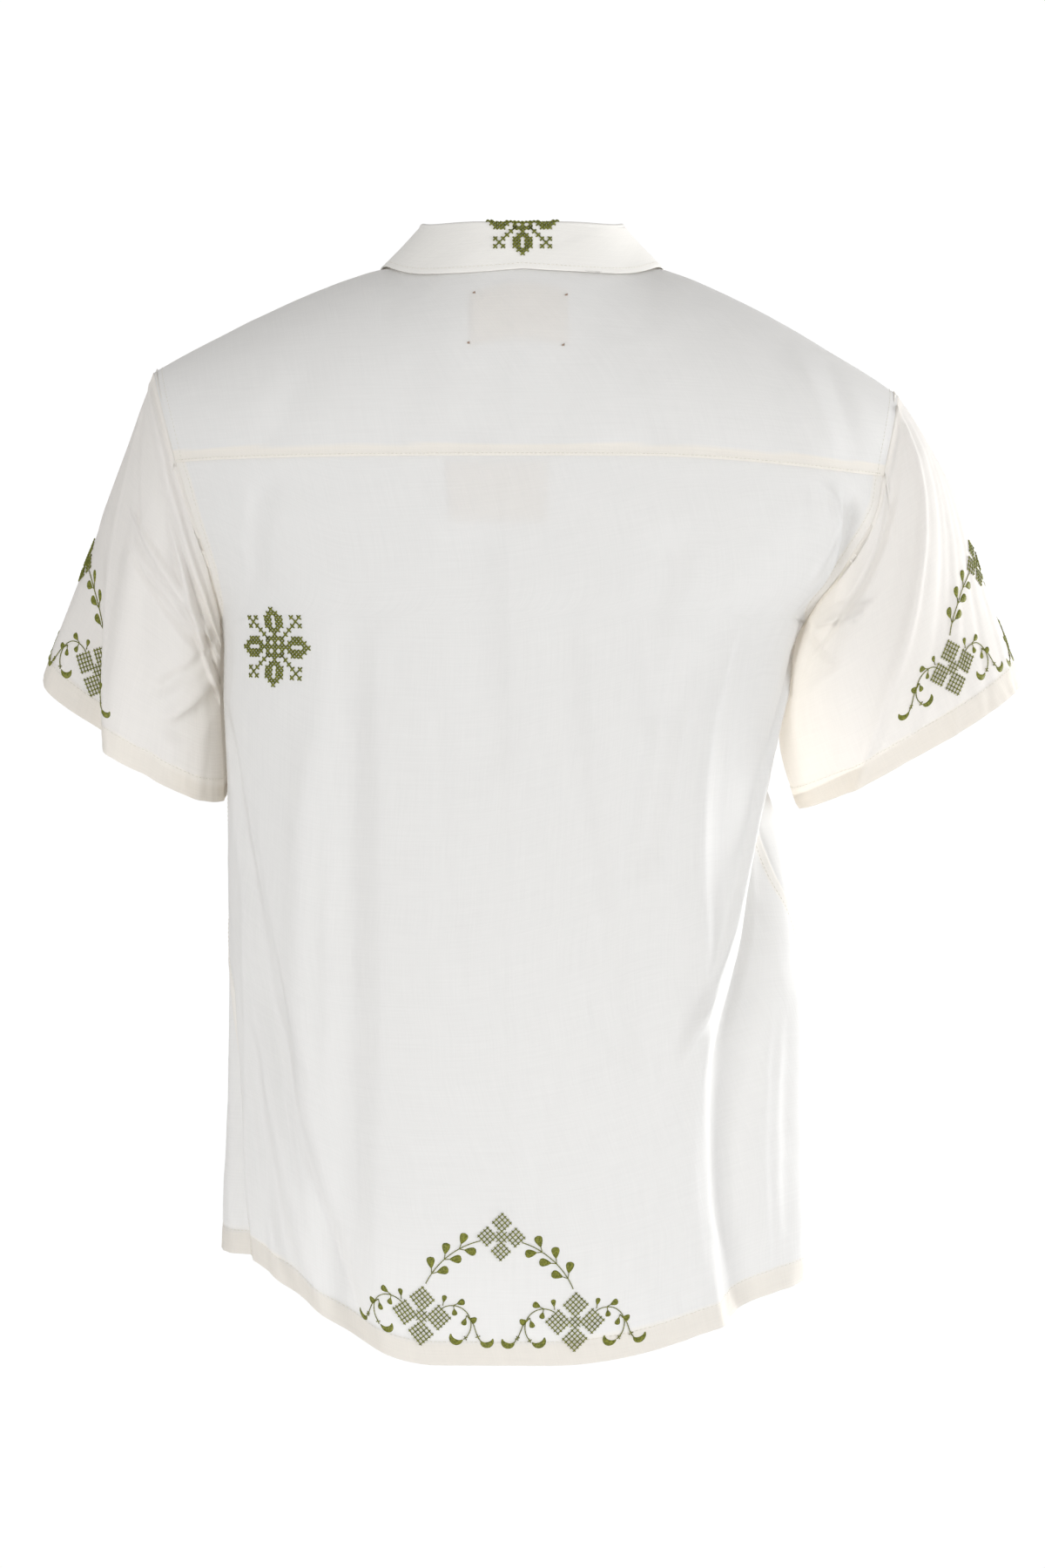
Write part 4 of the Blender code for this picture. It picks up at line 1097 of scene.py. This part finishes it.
class Motif:
    """Embroidery drawn flat, in metres across and up from its centre, and laid on a cloth."""

    def __init__(self, cloth, row, column, rotation=0.0, scale=1.0, guide=None, solid=None):
        self.cloth = cloth
        self.rotation, self.scale = rotation, scale
        self.solid = solid or Solid()
        rows = np.arange(len(cloth.points)).astype(float)
        if guide is None:
            guide = np.full(len(rows), float(column))
        self.guide = guide
        run = run_of(cloth.pick(rows, guide)[0])
        self.up = run - np.interp(row, rows, run)

    def lay(self, x, y, lift=0.0):
        """Points on the cloth at flat places, by the cloth's own lengths."""
        x, y = together(x, y)
        x, y = x * self.scale, y * self.scale
        turned = x * cosine(self.rotation) - y * sine(self.rotation)
        y = x * sine(self.rotation) + y * cosine(self.rotation)
        row = np.interp(y, self.up, np.arange(len(self.up)))
        cloth = self.cloth
        columns = cloth.points.shape[1]
        low = np.clip(np.floor(row).astype(int), 0, len(cloth.points) - 2)
        column = np.empty_like(row)
        for place in np.ndindex(row.shape):
            found = []
            for line in (low[place], low[place] + 1):
                lengths, at = cloth.right_of[line], np.arange(columns)
                if cloth.closed:
                    whole = lengths[-1] + np.linalg.norm(cloth.points[line, 0] - cloth.points[line, -1])
                    lengths = np.concatenate([lengths - whole, lengths, lengths + whole])
                    at = np.arange(-columns, 2 * columns)
                here = np.interp(self.guide[line], at, lengths)
                found.append(np.interp(here + turned[place], lengths, at))
            column[place] = mix(found[0], found[1], row[place] - low[place])
        return cloth.pick(row, column, lift)

    def thread(self, x, y, radius=THREAD, lift=None):
        x, y = np.asarray(x, float), np.asarray(y, float)
        if lift is None:
            lift = np.zeros(len(x)) + THREAD_LIFT + 0.6 * radius
        points, normals = self.lay(x, y, lift)
        self.solid.add_tube(points, normals, radius)

    def cross(self, x, y, size=CROSS):
        """One cross stitch: two short threads, the second over the first."""
        share = np.array([-0.5, -0.3, 0, 0.3, 0.5])
        for lean, high in ((1, 0.00018), (-1, 0.00052)):
            lift = THREAD_LIFT + np.array([-0.0003, high * 0.8, high, high * 0.8, -0.0003])
            radius = 1.4 * THREAD * np.array([0.75, 1, 1.05, 1, 0.75])
            self.thread(x + share * size, y + lean * share * size, radius, lift)

    def rosette(self):
        """A folk rosette in cross stitch: four petals with an eye, four arms with a crosslet, a square."""
        cells = {(row - 9, column) for row, columns in enumerate(PETAL) for column in columns}
        cells |= {(i, 2) for i in (-2, -1, 0, 1, 2)} | {(0, 1), (0, 0)}
        cells |= {(-i, -i) for i in (3, 4, 5, 6, 7)} | {(-7, -5), (-5, -7)}
        for row, column in sorted(cells):
            for turned in {(row, column), (-column, row), (-row, -column), (column, -row)}:
                if turned in cells and turned < (row, column):
                    continue
                self.cross(turned[1] * CROSS, -turned[0] * CROSS)

    def lattice(self, x, y, lines, centre_lines):
        """Four diamonds of crossing threads round a small one."""
        groups = [(0, 0, centre_lines)]
        apart = (lines - 1) / 2 + (centre_lines - 1) / 2
        for side in ((1, 1), (1, -1), (-1, 1), (-1, -1)):
            groups.append((side[0] * apart, side[1] * apart, lines))
        for u, v, count in groups:
            reach = (count - 1) / 2 + (0.85 if u == v == 0 else 0.45)
            for k in range(count):
                across = k - (count - 1) / 2
                along = np.linspace(-reach, reach, 4 * count - 1)
                knots = 1 + 0.28 * np.cos(2 * np.pi * (along - (count - 1) / 2))
                ends = smooth((reach - np.abs(along)) / 0.3)
                for first in (True, False):
                    a, b = (u + along, v + across) if first else (u + across, v + along)
                    lift = THREAD_LIFT + THREAD * (0.25 + 0.55 * ends + (0 if first else 0.5))
                    flat_x = x + (a - b) * LATTICE / math.sqrt(2)
                    flat_y = y + (a + b) * LATTICE / math.sqrt(2)
                    self.thread(flat_x, flat_y, LATTICE_THREAD * knots * mix(0.6, 1, ends), lift)

    def stem(self, x, y, radius=THREAD * 0.8):
        run = np.concatenate([[0], np.hypot(np.diff(x), np.diff(y)).cumsum()])
        count = max(4, int(run[-1] / 0.0006))
        at = np.linspace(0, run[-1], count)
        twist = 1 + 0.16 * np.sin(at * 2 * np.pi / 0.0019)
        self.thread(np.interp(at, run, x), np.interp(at, run, y), radius * twist)

    def leaf(self, x, y, angle, length, width, stalk=0.3):
        """A satin-stitched leaf on a short stalk, widest towards its round tip."""
        foot = length * stalk * np.array([0, 1.1])
        self.stem(x + cosine(angle) * foot, y + sine(angle) * foot, THREAD * 0.7)
        t = steps(15)[:, None]
        s = np.linspace(-1, 1, 9)
        half = width / 2 * 1.64 * t ** 0.8 * np.sqrt(np.maximum(0, 1 - t ** 3)) + 0.0001
        ahead = length * (stalk + (1 - stalk) * t) + 0 * s
        beside = half * s
        ridge = 0.00007 * np.sin((ahead - np.abs(beside) * 0.7) * 2 * np.pi / 0.0008)
        lift = 0.0008 * (1 - s ** 2) ** 0.6 * (half / (width / 2)) ** 0.5 + ridge + THREAD_LIFT - 0.0003
        points = self.lay(
            x + cosine(angle) * ahead - sine(angle) * beside,
            y + sine(angle) * ahead + cosine(angle) * beside,
            lift,
        )[0]
        self.solid.add_grid(points[:, ::-1])

    def crescent(self, x, y, radius, start, end, width):
        """A thick satin-stitched hook along an arc."""
        t = steps(16)[:, None]
        s = np.linspace(-1, 1, 7)
        angle = mix(start, end, t)
        half = width / 2 * np.sin(np.pi * np.clip(t, 0.03, 0.97)) ** 0.65
        reach = radius + half * s
        ridge = 0.00006 * np.sin(t * 2 * np.pi * 9 + 0 * s)
        lift = 0.0007 * (1 - s ** 2) ** 0.6 * (half / (width / 2)) + ridge + THREAD_LIFT - 0.0003
        points = self.lay(x + reach * cosine(angle), y + reach * sine(angle), lift)[0]
        self.solid.add_grid(points if end < start else points[:, ::-1])

    def little_cross(self, x, y, angle):
        share = np.array([-1, -0.5, 0, 0.5, 1]) * 0.0015
        for turned in (angle, angle + 90):
            radius = THREAD * np.array([0.9, 0.8, 0.6, 0.8, 0.9])
            self.thread(x + share * cosine(turned), y + share * sine(turned), radius)

    def scroll(self, x, y, way):
        """A vine from a cluster's shoulder: an arching stem with leaves and two hooks. way is 1 or -1."""
        angle = np.linspace(122, -48, 18)
        stems = (
            (0.020 + 0.0122 * cosine(angle), -0.004 + 0.0122 * sine(angle)),
            (np.array([0.0293, 0.0337, 0.0362, 0.0388]), np.array([0.0021, -0.0034, -0.0102, -0.0142])),
        )
        for (stem_x, stem_y), (hook_x, hook_y, radius, start, end) in zip(stems, HOOKS):
            self.stem(x + way * stem_x, y + stem_y)
            start, end = mirrored(start, way), mirrored(end, way)
            self.crescent(x + way * hook_x, y + hook_y, radius, start, end, CRESCENT)
        self.little_cross(x + way * 0.0288, y - 0.0125, 30)
        self.little_cross(x + way * 0.0368, y - 0.0112, 20)
        for leaf_x, leaf_y, angle, length, width in SCROLL_LEAVES:
            self.leaf(x + way * leaf_x, y + leaf_y, mirrored(angle, way), length, width)

    def garland(self):
        """An arch of leaf pairs over two lattice clusters with scrolling vines."""
        self.lattice(0, CLUSTER_RISE, 4, 3)
        for way in (1, -1):
            angle = np.linspace(75, 24, 26)
            self.stem(way * ARCH_RADIUS * cosine(angle), ARCH_RADIUS * sine(angle))
            for node in (59, 46, 32.5):
                x, y = way * ARCH_RADIUS * cosine(node), ARCH_RADIUS * sine(node)
                for lean, length in ((50, 0.0108), (130, 0.0112)):
                    self.leaf(x, y, mirrored(node + lean, way), length, 0.0052)
            self.lattice(way * CLUSTER_APART, 0, 5, 3)
            for scroll_way in (1, -1):
                self.scroll(way * CLUSTER_APART, 0, scroll_way)

    def buttonhole(self):
        """Close stitches down both sides of a slit, with a bar at each end."""
        for side in (-1, 1):
            for y in np.linspace(-0.0072, 0.0072, 25):
                self.thread(side * np.array([0.0003, 0.0010, 0.0017]), np.full(3, y), 0.00026)
        for y in (-0.0078, 0.0078):
            self.thread(np.array([-0.0017, 0, 0.0017]), np.full(3, y), 0.00034)

    def tack(self):
        """A few small stitches on top of each other, which hold a label's corner."""
        for i, y in enumerate((-0.0004, 0, 0.0004)):
            self.thread(np.array([-0.0008, 0, 0.0008]), y + 0.0002 * np.array([-i, 0, i]), 0.00028)


def nodes_for(name):
    made = bpy.data.materials.new(name)
    made.use_nodes = True
    tree = made.node_tree
    return made, tree, tree.nodes["Principled BSDF"], tree.nodes["Material Output"]


def feed(tree, node, inputs):
    """Links sockets to a node's inputs, or sets the inputs to constant values."""
    for key, value in inputs.items():
        if isinstance(value, bpy.types.NodeSocket):
            tree.links.new(value, node.inputs[key])
        else:
            node.inputs[key].default_value = value


def add_node(tree, kind, inputs, **settings):
    node = tree.nodes.new(kind)
    for key, value in settings.items():
        setattr(node, key, value)
    feed(tree, node, inputs)
    return node


def noise_node(tree, place, scale, detail):
    inputs = {"Vector": place, "Scale": scale, "Detail": detail}
    return add_node(tree, "ShaderNodeTexNoise", inputs).outputs["Fac"]


def streaks(tree, place, across, along):
    """Uneven yarns: noise drawn out along one direction of the weave."""
    drawn = add_node(tree, "ShaderNodeMapping", {"Vector": place, "Scale": (across, along, 1)}).outputs[0]
    return noise_node(tree, drawn, 1.0, 2.0)


def clouds(tree, scale, detail):
    """Noise in the piece's own coordinates."""
    place = add_node(tree, "ShaderNodeTexCoord", {}).outputs["Object"]
    return noise_node(tree, place, scale, detail)


def ranged(tree, value, *limits):
    inputs = {0: value} | dict(enumerate(limits, 1))
    return add_node(tree, "ShaderNodeMapRange", inputs).outputs[0]


def two_tones(tree, share, first, second):
    inputs = {0: share, 6: (*first, 1), 7: (*second, 1)}
    return add_node(tree, "ShaderNodeMix", inputs, data_type="RGBA").outputs[2]


def bumps(tree, height, strength, distance):
    inputs = {"Height": height, "Strength": strength, "Distance": distance}
    return add_node(tree, "ShaderNodeBump", inputs).outputs[0]


def cotton_look(name, colour, doubled_and_shaded_colour, see_through=0.30):
    """Thin plain-weave cotton: uneven yarns, creamier where it lies in two layers and where a sleeve's
    underside has painted shade, and a little light through it.
    """
    made, tree, shader, output = nodes_for(name)
    place = add_node(tree, "ShaderNodeUVMap", {}, uv_map="cloth").outputs[0]
    doubled_and_shaded = add_node(tree, "ShaderNodeAttribute", {}, attribute_name="doubled_and_shaded").outputs["Fac"]
    weft, warp = streaks(tree, place, 25, 900), streaks(tree, place, 900, 25)
    yarns = add_node(tree, "ShaderNodeMath", {0: weft, 1: warp}, operation="ADD").outputs[0]
    uneven = ranged(tree, yarns, 0.6, 1.4, 0.955, 1.0)
    # The cream tone serves two-layer cloth and the painted shade on the sleeves' undersides.
    tone = two_tones(tree, doubled_and_shaded, colour, doubled_and_shaded_colour)
    dyed = add_node(tree, "ShaderNodeVectorMath", {0: tone, "Scale": uneven}, operation="SCALE").outputs[0]
    feed(tree, shader, {"Base Color": dyed, "Normal": bumps(tree, yarns, 0.22, 0.0004)})
    feed(tree, shader, {"Roughness": 0.85, "Specular IOR Level": 0.25})
    warmed = add_node(tree, "ShaderNodeVectorMath", {0: dyed, 1: WARM_THROUGH}, operation="MULTIPLY")
    through = add_node(tree, "ShaderNodeBsdfTranslucent", {"Color": warmed.outputs[0]}).outputs[0]
    blend = add_node(tree, "ShaderNodeMixShader", {0: see_through, 1: shader.outputs[0], 2: through})
    feed(tree, output, {"Surface": blend.outputs[0]})
    return made


def thread_look(name, light, dark, roughness=0.45):
    """Thread: fine uneven strands with a soft gloss."""
    made, tree, shader, _ = nodes_for(name)
    strands = clouds(tree, 900.0, 2.0)
    tone = two_tones(tree, ranged(tree, strands, 0.35, 0.65, 0.0, 1.0), dark, light)
    feed(tree, shader, {"Base Color": tone, "Normal": bumps(tree, strands, 0.4, 0.0003)})
    feed(tree, shader, {"Roughness": roughness, "Specular IOR Level": 0.2})
    return made


def shell_look():
    made, tree, shader, _ = nodes_for("button_shell")
    tone = two_tones(tree, clouds(tree, 260.0, 3.0), SHELL, SHELL_PALE)
    feed(tree, shader, {"Base Color": tone, "Roughness": 0.25})
    return made


def shirt_button(centre, out, holes, sewn):
    """A turned four-hole button with a rim. Its holes and its crossed thread go to their own meshes."""
    side = unit(np.cross(out, UP))
    up = np.cross(side, out)
    angle = np.arange(40)[:, None] * 9
    ring = side * cosine(angle) + up * sine(angle)
    rows = []
    for radius, height in BUTTON_PROFILE:
        raised = out * (BUTTON_LIFT + height * BUTTON_DEPTH)
        rows.append(centre + ring * max(radius, 0.002) * BUTTON_RADIUS + raised)
    solid = Solid()
    solid.add_grid(np.array(rows)[:, ::-1], closed=True)
    for x, y in ((1, 1), (1, -1), (-1, 1), (-1, -1)):
        spot = centre + side * x * HOLE_OFF + up * y * HOLE_OFF
        line = np.array([spot + out * 0.0018, spot + out * 0.00235])
        holes.add_tube(line, np.array([up, up]), HOLE_RADIUS, 10)
    share = np.linspace(-1, 1, 7)[:, None]
    for lean in (1, -1):
        line = centre + (side + up * lean) * share * HOLE_OFF
        line = line + out * (0.0021 + 0.0005 * (1 - share ** 2) + (0.0002 if lean > 0 else 0))
        sewn.add_tube(line, np.broadcast_to(out, line.shape), 0.00030, 6)
    return solid


def studio():
    """A white room: floor, glowing backdrop, soft lights and the camera behind the shirt."""
    scene = bpy.context.scene
    for name, colour, glow, line in (
        ("studio_floor", FLOOR_COLOUR, 0.0, ((4.5, FLOOR), (BACKDROP, FLOOR))),
        ("studio_backdrop", (0, 0, 0, 1), BACKDROP_GLOW, ((BACKDROP, FLOOR), (BACKDROP, BACKDROP_TOP))),
    ):
        made, tree, shader, _ = nodes_for(name)
        feed(tree, shader, {"Base Color": colour, "Roughness": 0.9, "Specular IOR Level": 0})
        feed(tree, shader, {"Emission Color": (1, 1, 1, 1), "Emission Strength": glow})
        plane = Solid()
        plane.add_grid(np.array([[(x, y, z) for x in (6.0, -6.0)] for y, z in line]))
        plane.make(name, made)
    world = bpy.data.worlds.new("studio_world")
    world.use_nodes = True
    feed(world.node_tree, world.node_tree.nodes["Background"], {0: SKY, 1: SKY_STRENGTH})
    scene.world = world
    for light in LIGHTS:
        data = bpy.data.lights.new(light.name, "AREA")
        data.shape = "RECTANGLE"
        data.size, data.size_y = light.size
        data.energy = light.power
        lamp = bpy.data.objects.new(light.name, data)
        lamp.location = light.place
        lamp.rotation_euler = (Vector(light.target) - Vector(light.place)).to_track_quat("-Z", "Y").to_euler()
        scene.collection.objects.link(lamp)
    camera = bpy.data.cameras.new("camera")
    camera.lens = LENS
    camera.sensor_width = 36
    eye = bpy.data.objects.new("camera", camera)
    eye.location = CAMERA
    eye.rotation_euler = (math.radians(90), 0, math.radians(180))
    scene.collection.objects.link(eye)
    scene.camera = eye
    scene.view_settings.view_transform = "Standard"


def shirt_cloths():
    """Every sheet's cloth, by the name of the solid that it stands for."""
    cloths = {"back": back_cloth(), "yoke": yoke_cloth(), "collar": collar_cloth()}
    for side, rings, folds, seed in (
        (LEFT, LEFT_RINGS, LEFT_SLEEVE_FOLDS, 81),
        (RIGHT, RIGHT_RINGS, RIGHT_SLEEVE_FOLDS, 91),
    ):
        front = front_cloth(side)
        cloths["front_" + side.name] = front
        sleeve = sleeve_cloth(side, rings, folds, cloths["back"], cloths["yoke"], front, seed)
        cloths["sleeve_" + side.name] = sleeve
        cloths["facing_" + side.name] = lapel_cloth(side)
    return cloths


def cloth_pieces(cloths):
    cotton = cotton_look("cotton", COTTON, CREAM)
    # The sleeves share the body's cloth; their warmer copy of the cotton is painted warm shade.
    sleeve_cotton = cotton_look("sleeve_cotton", SLEEVE_SHADED_COTTON, CREAM)
    folded_cotton = cotton_look("folded_cotton", COTTON, CREAM, 0.06)
    tape = cotton_look("label_tape", TAPE, TAPE, 0.96)
    pieces = {}
    for node in (sheet.node for sheet in SHEETS):
        ply = COLLAR_PLY if "collar" in node or "facing" in node else None
        look = folded_cotton if ply else sleeve_cotton if "sleeve" in node else cotton
        hemmed = not ply and node != "yoke"
        pieces[node] = cloth_piece("cloth_" + node, cloths[node], look, node, ply=ply, hemmed=hemmed)
    for node, cloth in (
        ("label_neck", label_cloth(NECK_LABEL, True)),
        ("label_care", label_cloth(CARE_LABEL, False)),
    ):
        cloth_piece("tape_" + node, cloth, tape, node, 0.0003)
    return pieces


def stitching(cloths, sewing):
    """Topstitching along the hems, seams and facings, the labels' tacks and the buttonholes."""
    back, yoke, collar = cloths["back"], cloths["yoke"], cloths["collar"]
    front_left, front_right = cloths["front_left"], cloths["front_right"]
    hemmed = (back, front_left, front_right, cloths["sleeve_left"], cloths["sleeve_right"])
    lines = [(cloth, "low", HEM_BAND - STITCH_IN) for cloth in hemmed]
    lines += [
        (yoke, "low", 0.0016), (yoke, "left", SEAM_STITCH), (yoke, "right", SEAM_STITCH),
        (collar, "low", 0.0040), (front_left, "left", FACING_WIDTH), (front_right, "right", FACING_WIDTH),
        (back, "left", SEAM_STITCH), (back, "right", SEAM_STITCH),
    ]
    seams, tacks, holes = Solid(), Solid(), Solid()
    for cloth, edge, distance in lines:
        stitch_line(seams, *line_from(cloth, edge, distance))
    for x, z in TACKS:
        Motif(yoke, *nearest(yoke, x, z, 1), solid=tacks).tack()
    for i in range(BUTTON_COUNT):
        place = nearest(front_left, 0.0, FIRST_BUTTON - i * BUTTON_SPACING, -1)
        Motif(front_left, *place, solid=holes).buttonhole()
    keep(seams.make("stitching", sewing))
    keep(tacks.make("label_tacks", thread_look("tack_thread", TACK, TACK, 0.8)))
    keep(holes.make("buttonholes", sewing))


def on_back(back, x, z, rotation, scale=1.0):
    """A motif on the back at a place seen from behind, laid from a line straight up the body."""
    rows, columns = (np.arange(count) for count in back.points.shape[:2])
    level = np.argmin(np.abs(back.points[:, len(columns) // 2, 2] - z))
    turn = np.interp(-x, -back.points[level, :, 0], back.turns[level])
    guide = np.array([np.interp(-turn, -back.turns[row], columns) for row in rows])
    heights = np.array([np.interp(guide[row], columns, back.points[row, :, 2]) for row in rows])
    return Motif(back, np.interp(z, heights, rows), None, rotation, scale, guide)


def on_sleeve(cloth, turn, above, rotation):
    """A motif on a sleeve at a turn from its top and a distance above its hem."""
    column = int(np.argmin(np.abs(cloth.turns - turn)))
    row = np.interp(above, cloth.above[:, column], np.arange(len(cloth.above)))
    return Motif(cloth, row, column, rotation)


def embroidery(cloths):
    olive = thread_look("olive_thread", OLIVE, OLIVE_DARK)
    collar = cloths["collar"]
    middle = collar.points.shape[1] // 2
    fold_row = int(np.argmax(collar.points[:, middle, 2]))
    for name, motif, draw in (
        ("rosette", on_back(cloths["back"], 0.1615, -0.2575, -1.3, 1.03), Motif.rosette),
        ("hem", on_back(cloths["back"], 0.0156, -0.6911, -2.1), Motif.garland),
        ("collar", Motif(collar, fold_row - 1, middle, scale=0.96), Motif.rosette),
        ("sleeve_left", on_sleeve(cloths["sleeve_left"], 4, 0.029, 8), Motif.garland),
        ("sleeve_right", on_sleeve(cloths["sleeve_right"], 25, 0.035, -10), Motif.garland),
    ):
        draw(motif)
        keep(motif.solid.make("embroidery_" + name, olive))


def buttons(sewing):
    shell, dark = shell_look(), thread_look("hole_shade", HOLE, HOLE_DARK, 0.8)
    holes, sewn = Solid(), Solid()
    for i in range(BUTTON_COUNT):
        height = FIRST_BUTTON - i * BUTTON_SPACING
        above, below = body_point(180.0, height + BUTTON_RADIUS), body_point(180.0, height - BUTTON_RADIUS)
        outward = unit(np.cross(above - below, (-1.0, 0, 0)))
        button = shirt_button(body_point(180.0, height), outward, holes, sewn)
        keep(button.make(f"shell_button_{i + 1}", shell), f"button_{i + 1}")
    keep(holes.make("button_holes", dark))
    keep(sewn.make("button_thread", sewing))


def main():
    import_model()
    studio()
    cloths = shirt_cloths()
    pieces = cloth_pieces(cloths)
    sewing = thread_look("sewing_thread", SEWING, SEWING_DARK, 0.6)
    stitching(cloths, sewing)
    embroidery(cloths)
    buttons(sewing)


main()
